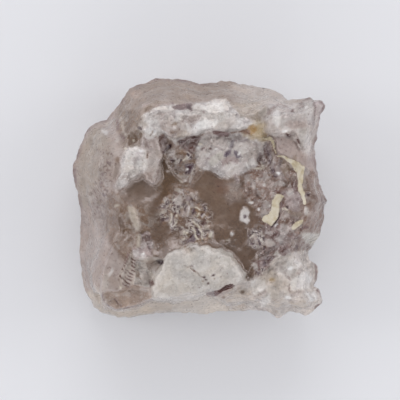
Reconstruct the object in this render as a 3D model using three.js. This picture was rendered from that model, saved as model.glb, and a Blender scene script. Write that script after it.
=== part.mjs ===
// A rough diamond: a squat, blocky crystal with a frosted skin. Its top is broken open into a
// smoky hollow, ringed by ledges, a horn at the back right corner and a ragged lobe at the
// front right. It rests on a flat cleavage face.
// Millimetres, +Z up. The origin is the centre of the plan's box, on the resting face.
import * as THREE from "three";
import { mergeVertices } from "three/addons/utils/BufferGeometryUtils.js";

// Driving dimensions
const WIDTH = 10.2; // along X
const DEPTH = 9.56; // along Y
const HEIGHT = 7.0; // resting face to the tip of the horn

// Facets of the solid
const SEGMENTS = 120; // round the stone
const TOP_RINGS = 28; // from the middle of the hollow out to the girdle
const TOP_CROWDING = 1.3; // above 1, those rings crowd towards the girdle
const BASE_RINGS = 8; // from the girdle in to the middle of the resting face
const BASE_CROWDING = 2;
const OUTLINE_STEPS = 600; // points that the smooth outline is read at

// Plan outline as seen from above, anticlockwise from the horn: [x, y]
const OUTLINE = [
  [4.98, 3.62], [4.72, 3.9], [4.32, 4.0], [4.0, 3.9], [3.52, 3.92], [3.24, 4.14],
  [2.88, 4.36], [2.4, 4.46], [1.8, 4.52], [1.16, 4.69], [0.56, 4.61], [0.0, 4.55],
  [-0.56, 4.7], [-1.3, 4.77], [-1.88, 4.75], [-2.12, 4.62], [-2.84, 4.36], [-3.04, 4.02],
  [-3.36, 3.62], [-3.76, 3.14], [-4.08, 3.06], [-4.4, 2.88], [-4.64, 2.58], [-4.8, 2.1],
  [-4.9, 1.78], [-5.08, 1.3], [-5.1, 1.06], [-5.02, 0.54], [-4.88, -0.02], [-4.8, -1.22],
  [-4.83, -1.82], [-4.68, -2.94], [-4.38, -3.9], [-4.12, -4.24], [-3.8, -4.54],
  [-3.36, -4.74], [-2.88, -4.76], [-1.52, -4.62], [0.48, -4.69], [1.4, -4.56],
  [2.24, -4.54], [3.18, -4.77], [3.56, -4.56], [4.04, -4.72], [4.4, -4.7], [4.72, -4.38],
  [4.9, -4.06], [4.84, -3.82], [4.56, -3.58], [4.64, -3.18], [4.6, -2.78], [4.36, -2.42],
  [4.36, -2.22], [4.56, -1.9], [4.82, -1.54], [4.84, -1.14], [4.99, -0.74], [4.96, -0.5],
  [5.1, -0.14], [4.98, 0.1], [4.78, 0.5], [4.7, 1.02], [4.52, 1.94], [4.7, 2.5],
  [4.84, 3.3],
];

// The flanks, read all round the stone between these bearings (degrees anticlockwise from +X).
// girdle: height of the widest point. shoulder: height where the flank meets the top, and
// inset how far in from the outline that is. foot: how far in the resting face starts.
const FLANKS = [
  { bearing: 0, girdle: 5.0, shoulder: 6.2, inset: 0.5, foot: 1.1 },
  { bearing: 38, girdle: 5.9, shoulder: 6.8, inset: 0.4, foot: 1.4 },
  { bearing: 60, girdle: 2.9, shoulder: 5.7, inset: 1.1, foot: 0.6 },
  { bearing: 92, girdle: 3.4, shoulder: 6.0, inset: 1.1, foot: 0.7 },
  { bearing: 118, girdle: 4.0, shoulder: 6.1, inset: 1.1, foot: 0.8 },
  { bearing: 142, girdle: 3.0, shoulder: 5.8, inset: 1.3, foot: 0.6 },
  { bearing: 168, girdle: 3.2, shoulder: 6.1, inset: 1.9, foot: 0.7 },
  { bearing: 200, girdle: 1.6, shoulder: 5.6, inset: 1.8, foot: 0.35 },
  { bearing: 226, girdle: 1.0, shoulder: 4.4, inset: 0.9, foot: 0.3 },
  { bearing: 262, girdle: 0.9, shoulder: 5.7, inset: 0.8, foot: 0.3 },
  { bearing: 288, girdle: 1.4, shoulder: 4.9, inset: 0.6, foot: 0.35 },
  { bearing: 314, girdle: 3.4, shoulder: 5.0, inset: 0.5, foot: 0.9 },
  { bearing: 336, girdle: 3.6, shoulder: 5.6, inset: 0.6, foot: 0.9 },
];
const SHOULDER_CURVE = 1.9; // above 1, the flank rounds over into the top
const FOOT_CURVE = 2.2; // above 1, it rounds under into the resting face

// The top: a gently domed ground, then ledges and hollows laid on it in this order. Each is a
// level oval at (x, y, z) with radii a and b, turned by turn degrees; edge is the share of its
// radius that the step at its rim takes to each side.
const GROUND = 5.95; // height of the dome's middle
const GROUND_FALL = 0.012; // how fast the dome falls away, per millimetre squared
const RELIEF = [
  { name: "hollow", x: 0.75, y: -0.35, a: 3.2, b: 2.4, turn: -8, z: 4.35, edge: 0.2 },
  { name: "left pocket", x: -2.35, y: -0.4, a: 0.85, b: 1.4, turn: 8, z: 4.5, edge: 0.4 },
  { name: "front notch", x: 1.85, y: -2.5, a: 0.55, b: 0.95, turn: 8, z: 4.4, edge: 0.5 },
  { name: "right slope", x: 3.0, y: 0.2, a: 0.8, b: 2.4, turn: 8, z: 5.3, edge: 0.5 },
  { name: "mound", x: 1.15, y: 1.6, a: 1.3, b: 0.95, turn: -8, z: 5.65, edge: 0.35 },
  { name: "small mound", x: -0.6, y: -0.45, a: 0.85, b: 0.7, turn: 0, z: 4.8, edge: 0.5 },
  { name: "left ledge", x: -2.15, y: 1.6, a: 0.75, b: 1.3, turn: 12, z: 6.35, edge: 0.35 },
  { name: "back ridge", x: -0.35, y: 3.1, a: 2.5, b: 0.62, turn: -3, z: 6.6, edge: 0.4 },
  { name: "left groove", x: -2.9, y: 2.6, a: 0.35, b: 0.8, turn: 8, z: 5.6, edge: 0.6 },
  { name: "horn", x: 3.95, y: 3.15, a: 1.1, b: 0.85, turn: 15, z: 6.8, edge: 0.4 },
  { name: "right rim", x: 4.25, y: 0.4, a: 0.5, b: 2.2, turn: -6, z: 6.3, edge: 0.45 },
  { name: "front plate", x: -0.1, y: -3.02, a: 1.85, b: 0.98, turn: 4, z: 6.05, edge: 0.25 },
  { name: "front lobe", x: 3.3, y: -3.6, a: 1.9, b: 1.1, turn: 8, z: 5.2, edge: 0.35 },
  { name: "corner block", x: -3.1, y: -3.9, a: 1.1, b: 0.6, turn: 12, z: 4.7, edge: 0.4 },
];

const mix = (from, to, share) => from + (to - from) * share;
const radians = THREE.MathUtils.degToRad;

// The outline as a dense closed polygon.
function outlinePolygon() {
  const control = OUTLINE.map(([x, y]) => new THREE.Vector3(x, y, 0));
  const curve = new THREE.CatmullRomCurve3(control, true, "centripetal");
  return curve.getPoints(OUTLINE_STEPS).slice(0, -1);
}

// Where a ray from the origin at this bearing (radians) leaves the polygon.
function edgePoint(polygon, bearing) {
  const ray = new THREE.Vector3(Math.cos(bearing), Math.sin(bearing), 0);
  for (let i = 0; i < polygon.length; i++) {
    const from = polygon[i];
    const side = polygon[(i + 1) % polygon.length].clone().sub(from);
    const cross = ray.x * side.y - ray.y * side.x;
    if (Math.abs(cross) < 1e-12) continue;
    const reach = (from.x * side.y - from.y * side.x) / cross;
    const along = (from.x * ray.y - from.y * ray.x) / cross;
    if (reach > 0 && along >= 0 && along < 1) return ray.multiplyScalar(reach);
  }
  throw new Error("the outline doesn't go all the way round the origin");
}

// Shortest distance from a point inside the polygon to its edge.
function distanceIn(polygon, point) {
  let shortest = Infinity;
  const nearest = new THREE.Vector3();
  const line = new THREE.Line3();
  for (let i = 0; i < polygon.length; i++) {
    line.set(polygon[i], polygon[(i + 1) % polygon.length]);
    line.closestPointToPoint(point, true, nearest);
    shortest = Math.min(shortest, nearest.distanceTo(point));
  }
  return shortest;
}

// The flank's sizes at a bearing, blended between the two entries of FLANKS beside it.
function flankAt(bearing) {
  const degrees = (THREE.MathUtils.radToDeg(bearing) + 360) % 360;
  let next = FLANKS.findIndex((flank) => flank.bearing > degrees);
  if (next < 0) next = FLANKS.length;
  const before = FLANKS[next - 1];
  const after = FLANKS[next % FLANKS.length];
  const span = (after.bearing - before.bearing + 360) % 360;
  const share = THREE.MathUtils.smoothstep(degrees - before.bearing, 0, span);
  const blended = (key) => mix(before[key], after[key], share);
  return {
    girdle: blended("girdle"),
    shoulder: blended("shoulder"),
    inset: blended("inset"),
    foot: blended("foot"),
  };
}

// Height of the ledges and hollows of the top at (x, y).
function reliefHeight(x, y) {
  let height = GROUND - GROUND_FALL * (x * x + y * y);
  for (const { x: cx, y: cy, a, b, turn, z, edge } of RELIEF) {
    const cos = Math.cos(radians(turn));
    const sin = Math.sin(radians(turn));
    const across = ((x - cx) * cos + (y - cy) * sin) / a;
    const along = ((y - cy) * cos - (x - cx) * sin) / b;
    const outward = Math.hypot(across, along);
    const inside = 1 - THREE.MathUtils.smoothstep(outward, 1 - edge, 1 + edge);
    height = mix(height, z, inside);
  }
  return height;
}

// Height of the upper surface: the flank near the outline, then the relief.
function upperHeight(x, y, inward) {
  const { girdle, shoulder, inset } = flankAt(Math.atan2(y, x));
  const climb = Math.min(inward / inset, 1);
  const flank = mix(girdle, shoulder, 1 - (1 - climb) ** SHOULDER_CURVE);
  const onTop = THREE.MathUtils.smoothstep(inward, 0.7 * inset, 1.25 * inset);
  return mix(flank, reliefHeight(x, y), onTop);
}

// Height of the underside: it rounds down from the girdle to the flat resting face at 0.
function lowerHeight(x, y, inward) {
  const { girdle, foot } = flankAt(Math.atan2(y, x));
  return girdle * (1 - Math.min(inward / foot, 1)) ** FOOT_CURVE;
}

// Centres the plan on the origin and sets the stone to its driving dimensions.
function fitToBox(geometry) {
  geometry.computeBoundingBox();
  const { min, max } = geometry.boundingBox;
  geometry.translate(-(min.x + max.x) / 2, -(min.y + max.y) / 2, -min.z);
  geometry.scale(WIDTH / (max.x - min.x), DEPTH / (max.y - min.y), HEIGHT / (max.z - min.z));
}

// A sphere pulled out to the plan outline: its upper half follows the top of the stone and its
// lower half the underside.
function stoneGeometry() {
  const polygon = outlinePolygon();
  const rings = TOP_RINGS + BASE_RINGS;
  const sphere = new THREE.SphereGeometry(1, SEGMENTS, rings).rotateX(Math.PI / 2);
  sphere.deleteAttribute("normal");
  sphere.deleteAttribute("uv");
  const geometry = mergeVertices(sphere);
  const position = geometry.attributes.position;
  const vertex = new THREE.Vector3();
  for (let i = 0; i < position.count; i++) {
    vertex.fromBufferAttribute(position, i).normalize();
    const bearing = Math.atan2(vertex.y, vertex.x);
    const ring = (Math.acos(vertex.z) / Math.PI) * rings;
    const onTop = ring <= TOP_RINGS + 1e-6;
    const share = Math.min(onTop ? ring / TOP_RINGS : (rings - ring) / BASE_RINGS, 1);
    const outward = 1 - (1 - share) ** (onTop ? TOP_CROWDING : BASE_CROWDING);
    vertex.copy(edgePoint(polygon, bearing)).multiplyScalar(outward);
    const inward = outward < 1 ? distanceIn(polygon, vertex) : 0;
    const height = onTop ? upperHeight : lowerHeight;
    vertex.z = height(vertex.x, vertex.y, inward);
    position.setXYZ(i, vertex.x, vertex.y, vertex.z);
  }
  fitToBox(geometry);
  geometry.computeVertexNormals();
  return geometry;
}

const skin = new THREE.MeshStandardMaterial({
  name: "frosted_diamond",
  color: 0xa79c96,
  roughness: 0.45,
  metalness: 0,
});
const stone = new THREE.Mesh(stoneGeometry(), skin);
stone.name = "rough_diamond";

const group = new THREE.Group();
group.add(stone);

export default group;
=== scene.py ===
"""Looks of the rough diamond: a frosted, smoky crystal with a broken top, on a pale floor.

Shapes are worked out in millimetres, +Z up, with the origin under the middle of the plan, and
turned into metres when the meshes are made. The stone is one closed surface, traced round a
solid that is given by its plan outline, the profile of its flanks and the height of its top.
The top is a plan seen from above: zones, facets, spots and strokes are laid on it one by one.
"""
import math
from functools import partial

import bpy
import numpy as np
from mathutils import Matrix, Vector


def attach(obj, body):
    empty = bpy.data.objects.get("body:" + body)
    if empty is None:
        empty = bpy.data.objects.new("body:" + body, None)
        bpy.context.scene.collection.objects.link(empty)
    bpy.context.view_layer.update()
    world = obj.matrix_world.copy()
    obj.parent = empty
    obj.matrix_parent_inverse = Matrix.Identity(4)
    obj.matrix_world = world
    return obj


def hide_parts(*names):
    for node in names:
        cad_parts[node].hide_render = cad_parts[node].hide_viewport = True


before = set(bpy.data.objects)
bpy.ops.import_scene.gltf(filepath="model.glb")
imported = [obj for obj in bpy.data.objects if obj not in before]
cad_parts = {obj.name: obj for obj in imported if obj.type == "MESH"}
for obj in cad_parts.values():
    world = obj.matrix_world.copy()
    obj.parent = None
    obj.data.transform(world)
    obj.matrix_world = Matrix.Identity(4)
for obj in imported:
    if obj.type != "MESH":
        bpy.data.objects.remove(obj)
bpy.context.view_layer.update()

MM = 0.001

# ---- the stone's plan and flanks ----

# Plan outline seen from above, anticlockwise from the horn: (x, y)
OUTLINE = [
    (5.02, 3.64), (4.76, 3.91), (4.32, 4.0), (4.0, 3.9), (3.52, 3.92), (3.24, 4.14), (2.88, 4.36),
    (2.4, 4.46), (1.8, 4.52), (1.16, 4.69), (0.56, 4.61), (0.0, 4.55), (-0.56, 4.7), (-0.92, 4.76),
    (-1.44, 4.77), (-1.88, 4.75), (-2.12, 4.62), (-2.64, 4.46), (-2.84, 4.36), (-3.04, 4.02),
    (-3.36, 3.62), (-3.76, 3.14), (-4.08, 3.06), (-4.4, 2.88), (-4.64, 2.58), (-4.8, 2.1), (-4.9, 1.78),
    (-5.08, 1.3), (-5.1, 1.06), (-5.02, 0.54), (-4.88, -0.02), (-4.82, -0.58), (-4.8, -1.22),
    (-4.86, -1.82), (-4.84, -2.38), (-4.8, -2.94), (-4.72, -3.42), (-4.54, -3.96), (-4.26, -4.42),
    (-3.8, -4.72), (-3.3, -4.84), (-2.8, -4.82), (-2.32, -4.74), (-1.52, -4.66), (-0.48, -4.66),
    (0.48, -4.69), (1.4, -4.56), (2.24, -4.54), (2.72, -4.66), (3.18, -4.77), (3.56, -4.56),
    (4.04, -4.72), (4.4, -4.7), (4.72, -4.38), (4.9, -4.06), (4.84, -3.82), (4.56, -3.58), (4.64, -3.18),
    (4.6, -2.78), (4.36, -2.42), (4.36, -2.22), (4.56, -1.9), (4.82, -1.54), (4.84, -1.14), (4.99, -0.74),
    (4.96, -0.5), (5.1, -0.14), (4.98, 0.1), (4.78, 0.5), (4.7, 1.02), (4.58, 1.58), (4.52, 1.94),
    (4.7, 2.5), (4.74, 2.94), (4.84, 3.3),
]

# bearing in degrees, girdle height, shoulder height, shoulder inset, foot inset
FLANKS = [
    (0, 5.0, 6.2, 0.5, 1.1),
    (38, 5.9, 6.8, 0.4, 1.4),
    (60, 2.9, 5.7, 1.1, 0.6),
    (92, 3.4, 6.0, 1.1, 0.7),
    (118, 4.0, 6.1, 1.1, 0.8),
    (142, 3.0, 5.8, 1.3, 0.6),
    (168, 3.2, 6.1, 1.9, 0.7),
    (200, 1.6, 5.6, 1.8, 0.35),
    (226, 1.0, 5.3, 0.35, 0.3),
    (250, 0.9, 5.5, 0.35, 0.3),
    (262, 0.9, 5.7, 0.8, 0.3),
    (288, 1.4, 4.9, 0.6, 0.35),
    (314, 3.4, 5.0, 0.5, 0.9),
    (336, 3.6, 5.6, 0.6, 0.9),
]
SHOULDER_CURVE = 1.9
FOOT_CURVE = 2.2
STONE_TOP = 7.0

# ---- colours of the stone's zones ----
# As they look under the studio light: (red, green, blue) from 0 to 255

TINTS = {
    "skin": (162, 150, 145),
    "side": (172, 165, 160),
    "pitted": (150, 138, 132),
    "band": (151, 139, 132),
    "pale_band": (174, 165, 160),
    "saddle": (172, 161, 152),
    "foot": (181, 171, 162),
    "frost": (189, 183, 180),
    "ledge_grey": (172, 163, 159),
    "ledge_brown": (179, 168, 164),
    "groove": (140, 126, 116),
    "pocket": (134, 118, 108),
    "smoke": (134, 117, 107),
    "warm_smoke": (150, 131, 119),
    "deep_smoke": (128, 111, 99),
    "shade": (158, 142, 133),
    "haze": (142, 127, 119),
    "slope": (128, 111, 104),
    "violet": (132, 118, 116),
    "lilac": (156, 144, 143),
    "dark_violet": (110, 91, 89),
    "black_violet": (98, 76, 88),
    "mound": (174, 167, 165),
    "mound_violet": (116, 107, 116),
    "rim_facet": (162, 149, 145),
    "rim": (138, 122, 115),
    "pale_rim": (178, 173, 167),
    "horn": (180, 172, 169),
    "horn_violet": (175, 162, 164),
    "plate": (186, 180, 175),
    "lobe": (190, 182, 177),
    "lobe_beige": (176, 165, 155),
    "corner": (166, 150, 141),
    "grey_green": (170, 162, 156),
    "striped": (192, 182, 175),
    "tooth": (173, 163, 153),
    "cream": (206, 198, 186),
    # glint: the colour of painted highlights, also laid over bright faces
    "glint": (222, 220, 219),
    "sparkle": (186, 178, 175),
    "amber": (178, 163, 140),
    "orange": (158, 132, 102),
    "ridge_brown": (152, 138, 132),
    "olive": (156, 146, 137),
    "amber_soft": (172, 156, 136),
    "rust": (142, 119, 108),
    "cleft": (136, 118, 114),
    # slit, pit and gap are painted shade: in slits, in pits and in the crevice under the plate; gap also
    # colours the dark stripes
    "slit": (134, 116, 115),
    "pit": (98, 77, 76),
    "gap": (112, 86, 78),
}

# ---- ledges and hollows of the top ----
# The surface of each kind of zone. facet and grit: height of the coarse and fine broken faces.
# frost: how white and broken up the skin is. chips: strength of the painted light and shade that
# sets broken faces apart, and of the painted shadow patches. clear: how glassy. sparkle: strength
# of the fine black and white pattern of painted reflections. pits: strength of the painted shade
# of small pits.

CHARACTER = ("facet", "grit", "frost", "chips", "clear", "sparkle", "pits")
KINDS = {
    "skin": (0.018, 0.006, 0.15, 0.12, 0.1, 0.0, 0.25),
    "satin": (0.035, 0.008, 0.35, 0.35, 0.3, 0.0, 0.2),
    "matte": (0.025, 0.01, 0.5, 0.2, 0.05, 0.0, 0.2),
    "frost": (0.08, 0.014, 0.9, 0.75, 0.05, 0.0, 0.2),
    "glass": (0.01, 0.005, 0.06, 0.15, 0.8, 0.0, 0.1),
    "broken": (0.11, 0.018, 0.6, 1.0, 0.3, 0.1, 0.3),
    "icy": (0.09, 0.012, 0.5, 0.65, 0.15, 0.0, 0.1),
    "glitter": (0.06, 0.025, 0.3, 0.8, 0.2, 0.9, 0.2),
}


def zone(kind, tint, outline, z=None, rise=0.0, tilt=(0.0, 0.0), dome=0.0, reach=0.35,
         edge=0.1, soft=0.04, cover=1.0, **changes):
    """One ledge, hollow or patch of colour on the stone's top, laid over those before it.

    z is the height at the outline's middle, or None to keep what is there, and tilt the slope
    along x and y. dome is how much higher the middle stands than the border, within reach of
    it. rise lifts what is there. edge is half the width of the step at the border, soft half
    that of the change in colour, and cover how much of the colour shows. What else is given
    takes the place of the kind's own value.
    """
    surface = dict(zip(CHARACTER, KINDS[kind])) if kind else {}
    surface.update(changes)
    return {"tint": tint, "outline": outline, "z": z, "rise": rise, "tilt": tilt, "dome": dome,
            "reach": reach, "edge": edge, "soft": soft, "cover": cover, "surface": surface}


# Height of the top in its middle, and how fast it falls away with the square of the distance
GROUND_Z = 6.05
GROUND_FALL = 0.010

ZONES = {
    # Flanks and the saddle behind the ridge
    "left face": zone("skin", "skin", [
        (-5.4, 3.4), (-3.5, 3.6), (-3.1, 2.9), (-3.0, 1.8), (-3.2, 0.9), (-3.3, 0.3), (-3.5, -1.0),
        (-3.3, -2.4), (-3.6, -3.5), (-4.1, -3.9), (-4.6, -4.6), (-5.4, -4.4)], soft=0.15),
    "left face shoulder": zone(None, "olive", [
        (-4.9, 1.4), (-4.7, 2.2), (-4.2, 2.8), (-3.7, 2.4), (-3.8, 1.2), (-4.2, 0.2), (-4.6, -0.4),
        (-4.9, 0.4)], soft=0.2, cover=0.8),
    "left face pits": zone("matte", "pitted", [
        (-4.0, 1.9), (-3.6, 1.6), (-3.4, 0.6), (-3.5, -0.4), (-3.9, -1.0), (-4.36, -0.8), (-4.4, 0.1),
        (-4.0, 0.8)], soft=0.25, cover=0.7, pits=1.4),
    "back band": zone("skin", "band", [
        (-3.4, 3.5), (-2.6, 3.35), (-1.4, 3.6), (0.2, 3.9), (1.2, 3.6), (2.0, 3.0), (2.8, 3.3),
        (4.2, 4.1), (3.0, 5.2), (-3.6, 5.2)], soft=0.12),
    "pale band": zone("skin", "pale_band", [
        (2.2, 3.6), (3.0, 3.7), (4.0, 3.9), (3.4, 4.6), (1.2, 5.1), (1.6, 4.2)], soft=0.35),
    "saddle": zone("satin", "saddle", [
        (1.35, 3.7), (2.0, 3.9), (2.7, 3.6), (2.8, 3.2), (2.5, 2.9), (1.9, 3.0), (1.5, 3.1)], soft=0.2),
    "front foot": zone("skin", "foot", [
        (-4.8, -3.9), (-4.2, -3.7), (-3.95, -3.9), (-3.92, -4.24), (-3.76, -4.5), (-3.3, -4.5),
        (-2.8, -4.38), (-1.9, -4.05), (0.4, -3.8), (1.2, -4.3), (2.2, -5.2), (-4.8, -5.2)], z=1.9,
        tilt=(-0.1, 1.3), edge=0.12, soft=0.08),

    # The broken hollow and the pocket beside it
    "hollow": zone("glass", "smoke", [
        (-1.4, 2.0), (-1.7, 0.8), (-2.1, 0.78), (-2.6, 0.9), (-3.16, 0.46), (-3.4, -0.1), (-3.62, -0.62),
        (-3.66, -1.1), (-3.52, -1.62), (-3.16, -2.1), (-2.7, -2.5), (-1.7, -2.6), (-1.3, -2.46),
        (-1.08, -2.28), (-0.7, -2.12), (-0.2, -2.06), (0.4, -2.12), (0.9, -2.26), (1.2, -2.44),
        (1.5, -2.8), (1.66, -3.2), (1.9, -3.4), (2.3, -3.2), (3.04, -2.6), (4.0, -2.3), (4.2, -1.5),
        (4.1, 0.1), (3.8, 1.1), (3.32, 1.5), (2.8, 2.4), (2.2, 2.6), (1.0, 2.55), (-0.8, 2.5)], z=5.85,
        dome=-0.5, reach=0.8, edge=0.2, soft=0.16),
    "pocket": zone("satin", "pocket", [
        (-3.6, -0.2), (-3.2, 0.1), (-2.3, -0.1), (-2.0, -1.0), (-2.1, -1.9), (-2.9, -2.3), (-3.4, -1.9),
        (-3.75, -1.2)], edge=0.25, soft=0.2),
    "pocket dark patch": zone("glass", "deep_smoke", [
        (-3.44, -0.74), (-3.16, -0.7), (-2.96, -1.0), (-2.96, -1.5), (-3.16, -1.66), (-3.32, -1.2)],
        rise=-0.1, soft=0.12, cover=0.7),
    "middle floor": zone("glass", "warm_smoke", [
        (-0.1, 0.9), (0.4, 0.8), (0.9, 0.6), (1.0, 0.0), (0.9, -0.8), (0.6, -1.5), (0.1, -1.1),
        (0.2, -0.3), (-0.2, 0.3)], soft=0.3, cover=0.8),
    "middle haze": zone("satin", "skin", [
        (1.12, 0.6), (1.44, 0.66), (1.7, 0.3), (1.6, -0.1), (1.2, -0.14), (0.96, 0.1)], soft=0.2,
        cover=0.7),
    "rust spot": zone(None, "rust", [
        (0.66, 0.7), (0.92, 0.6), (1.0, 0.36), (0.84, 0.2), (0.64, 0.34)], soft=0.08, cover=0.8),

    # The slope that climbs to the right-hand rim
    "right slope": zone("broken", "slope", [
        (2.24, 2.4), (2.8, 2.6), (3.2, 2.1), (3.6, 1.7), (4.0, 1.3), (4.3, 0.66), (4.4, 0.06),
        (4.5, -0.5), (4.44, -1.06), (4.5, -1.54), (4.3, -2.2), (3.6, -2.5), (3.04, -2.6), (2.72, -2.8),
        (2.32, -3.0), (2.48, -2.3), (2.0, -1.94), (2.0, -1.38), (2.48, -1.22), (2.48, -0.7), (2.24, -0.3),
        (2.0, 0.1), (1.88, 0.62), (2.0, 1.02), (2.32, 1.26), (2.16, 1.7)], z=5.6, tilt=(0.36, 0.0),
        edge=0.3, soft=0.2),
    "slope shadow": zone("broken", "haze", [
        (2.2, 2.1), (2.6, 2.3), (3.0, 1.7), (2.94, 1.2), (2.5, 1.1), (2.28, 1.3)], rise=-0.06, soft=0.1,
        cover=0.8),
    "slope grey facet": zone("satin", "lilac", [
        (3.36, 0.24), (3.7, 0.3), (4.06, 0.1), (4.1, -0.44), (3.8, -0.56), (3.46, -0.36), (3.3, 0.0)],
        rise=0.05, soft=0.06, cover=0.7),
    "slope crystals": zone("icy", "violet", [
        (2.5, -1.1), (3.0, -1.0), (3.3, -1.2), (3.2, -1.8), (2.7, -2.0), (2.5, -1.6)], rise=0.06,
        soft=0.1, cover=0.8),
    "slope lower": zone("broken", "violet", [
        (3.3, -1.2), (3.9, -1.5), (3.6, -2.2), (3.0, -2.5), (2.5, -2.5), (2.6, -2.1), (3.2, -1.8)],
        soft=0.15, cover=0.7),

    "south notch": zone("glass", "smoke", [
        (0.7, -1.8), (1.2, -1.7), (1.9, -2.04), (2.26, -2.08), (2.32, -2.44), (2.14, -2.64),
        (2.04, -3.34), (1.6, -3.4), (1.2, -2.6), (0.8, -2.3)], z=5.38, edge=0.35, soft=0.1),

    # Left shoulder and mound
    "left shoulder": zone("broken", "haze", [
        (-1.46, 2.42), (-0.8, 2.5), (-0.16, 2.6), (0.3, 2.6), (0.1, 1.9), (0.04, 1.26), (-0.12, 1.02),
        (-0.4, 0.7), (-0.64, 0.46), (-0.88, 0.66), (-1.12, 1.1), (-1.36, 1.5), (-1.6, 1.74)], z=5.55,
        tilt=(0.0, 0.15), edge=0.3, soft=0.1),
    "shoulder sparkle": zone("glitter", "pocket", [
        (-0.96, 1.7), (-0.6, 1.96), (-0.26, 1.8), (-0.14, 1.3), (-0.3, 0.9), (-0.62, 0.96), (-0.86, 1.3)],
        edge=0.05, soft=0.12, sparkle=1.0),
    "ledge shade": zone("glass", "shade", [
        (-3.1, 0.3), (-2.7, 0.9), (-2.0, 1.0), (-1.7, 0.6), (-1.64, 0.24), (-2.0, -0.06), (-2.8, -0.1)],
        z=5.62, edge=0.35, soft=0.12, cover=0.9),
    "dark west floor": zone("glass", "deep_smoke", [
        (-1.66, 1.7), (-1.44, 1.6), (-1.32, 1.22), (-1.0, 0.87), (-0.66, 0.46), (-1.07, 0.28),
        (-1.5, 0.12), (-1.78, 0.48)], z=5.5, edge=0.22, soft=0.08),
    "mound": zone("frost", "mound", [
        (0.24, 2.46), (0.6, 2.5), (1.12, 2.6), (1.7, 2.66), (2.2, 2.44), (2.44, 2.16), (2.36, 1.66),
        (2.2, 1.36), (1.8, 1.06), (1.44, 1.02), (1.12, 0.9), (0.8, 0.92), (0.44, 1.1), (0.12, 1.16),
        (-0.08, 1.3), (-0.04, 1.7), (-0.08, 2.02), (0.04, 2.3)], z=5.5, dome=0.3, reach=0.5, edge=0.2),
    "mound glitter": zone("glitter", "sparkle", [
        (-0.2, 2.2), (0.3, 2.5), (1.0, 2.36), (1.1, 2.1), (0.8, 1.92), (0.3, 1.86), (-0.1, 1.6),
        (-0.2, 1.9)], edge=0.05, soft=0.12, cover=0.7, sparkle=0.5),

    # The ridge at the back and the ledges on the left
    "back ridge": zone("frost", "frost", [
        (-2.24, 3.34), (-1.92, 3.54), (-1.48, 3.62), (-1.12, 3.66), (-0.64, 3.42), (-0.32, 3.46),
        (-0.16, 3.7), (0.24, 3.78), (0.64, 3.86), (0.96, 3.78), (1.28, 3.46), (1.52, 3.18), (1.84, 3.06),
        (2.0, 2.94), (1.92, 2.7), (1.52, 2.58), (0.88, 2.66), (0.4, 2.66), (-0.08, 2.54), (-0.56, 2.42),
        (-0.96, 2.3), (-1.28, 2.42), (-1.52, 2.58), (-1.76, 2.34), (-2.0, 2.34), (-2.24, 2.54),
        (-2.48, 2.7), (-2.52, 2.94)], z=6.15, dome=0.25, reach=0.4, edge=0.12),
    "ridge brown": zone("satin", "ridge_brown", [
        (-1.5, 3.0), (-1.1, 3.1), (-0.8, 2.9), (-0.6, 2.6), (-0.9, 2.36), (-1.3, 2.5), (-1.5, 2.7)],
        rise=-0.05, soft=0.12, cover=0.8),
    "ridge grey": zone("frost", "ledge_grey", [
        (-1.9, 3.2), (-1.3, 3.36), (-0.7, 3.2), (-0.2, 3.1), (0.1, 2.9), (-0.4, 2.66), (-0.9, 2.7),
        (-1.3, 2.8), (-1.6, 2.9)], rise=-0.05, soft=0.15, cover=0.7),
    "left groove": zone("satin", "groove", [
        (-3.2, 3.42), (-2.88, 3.5), (-2.52, 3.42), (-2.4, 3.18), (-2.48, 2.9), (-2.52, 2.66),
        (-2.28, 2.38), (-2.32, 2.06), (-2.56, 1.94), (-2.88, 1.94), (-3.08, 2.3), (-3.2, 2.7),
        (-3.28, 3.1)], z=5.7, edge=0.2, soft=0.14),
    "left ledge": zone("satin", "ledge_brown", [
        (-2.28, 2.48), (-2.0, 2.46), (-1.68, 2.4), (-1.56, 2.06), (-1.48, 1.7), (-1.56, 1.26),
        (-1.6, 0.86), (-1.76, 0.54), (-1.96, 0.5), (-2.16, 0.7), (-2.28, 0.86), (-2.64, 0.78),
        (-2.84, 0.7), (-3.04, 0.46), (-3.28, 0.18), (-3.36, 0.42), (-3.2, 0.78), (-3.08, 1.18),
        (-3.04, 1.58), (-2.88, 1.9), (-2.56, 1.94), (-2.28, 1.94), (-2.36, 2.14)], z=6.05, edge=0.1),
    "ledge white": zone("frost", "frost", [
        (-3.0, 1.62), (-2.89, 1.9), (-2.54, 1.98), (-2.28, 1.82), (-2.1, 1.46), (-2.18, 1.1),
        (-2.43, 0.9), (-2.89, 0.76), (-3.12, 0.58), (-3.14, 1.14)], rise=0.06, soft=0.1),
    "ledge lip": zone("frost", "ledge_grey", [
        (-3.02, 0.9), (-2.84, 0.8), (-3.0, 0.5), (-3.26, 0.22), (-3.32, 0.42), (-3.16, 0.76)], soft=0.05),

    # Right-hand rim and the horn
    "right rim": zone("satin", "rim", [
        (4.04, 1.26), (4.4, 1.3), (4.56, 0.9), (4.72, 0.3), (4.88, -0.1), (5.3, -0.18), (5.3, -0.7),
        (5.2, -1.1), (5.1, -1.5), (5.0, -1.82), (4.52, -2.02), (4.12, -2.1), (4.0, -1.86), (4.12, -1.54),
        (4.08, -0.98), (4.2, -0.5), (4.08, 0.1), (4.0, 0.7)], z=6.0, tilt=(-0.25, 0.1), edge=0.2,
        soft=0.1),
    "pale rim": zone("satin", "pale_rim", [
        (4.08, -1.46), (4.4, -1.42), (5.0, -1.5), (5.0, -1.8), (4.64, -2.0), (4.24, -1.82)], rise=0.05,
        edge=0.06, soft=0.06),
    "rim facet": zone("skin", "rim_facet", [
        (2.92, 2.42), (3.36, 2.54), (3.68, 2.42), (3.88, 2.18), (4.0, 1.9), (4.7, 1.8), (4.8, 1.3),
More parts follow.
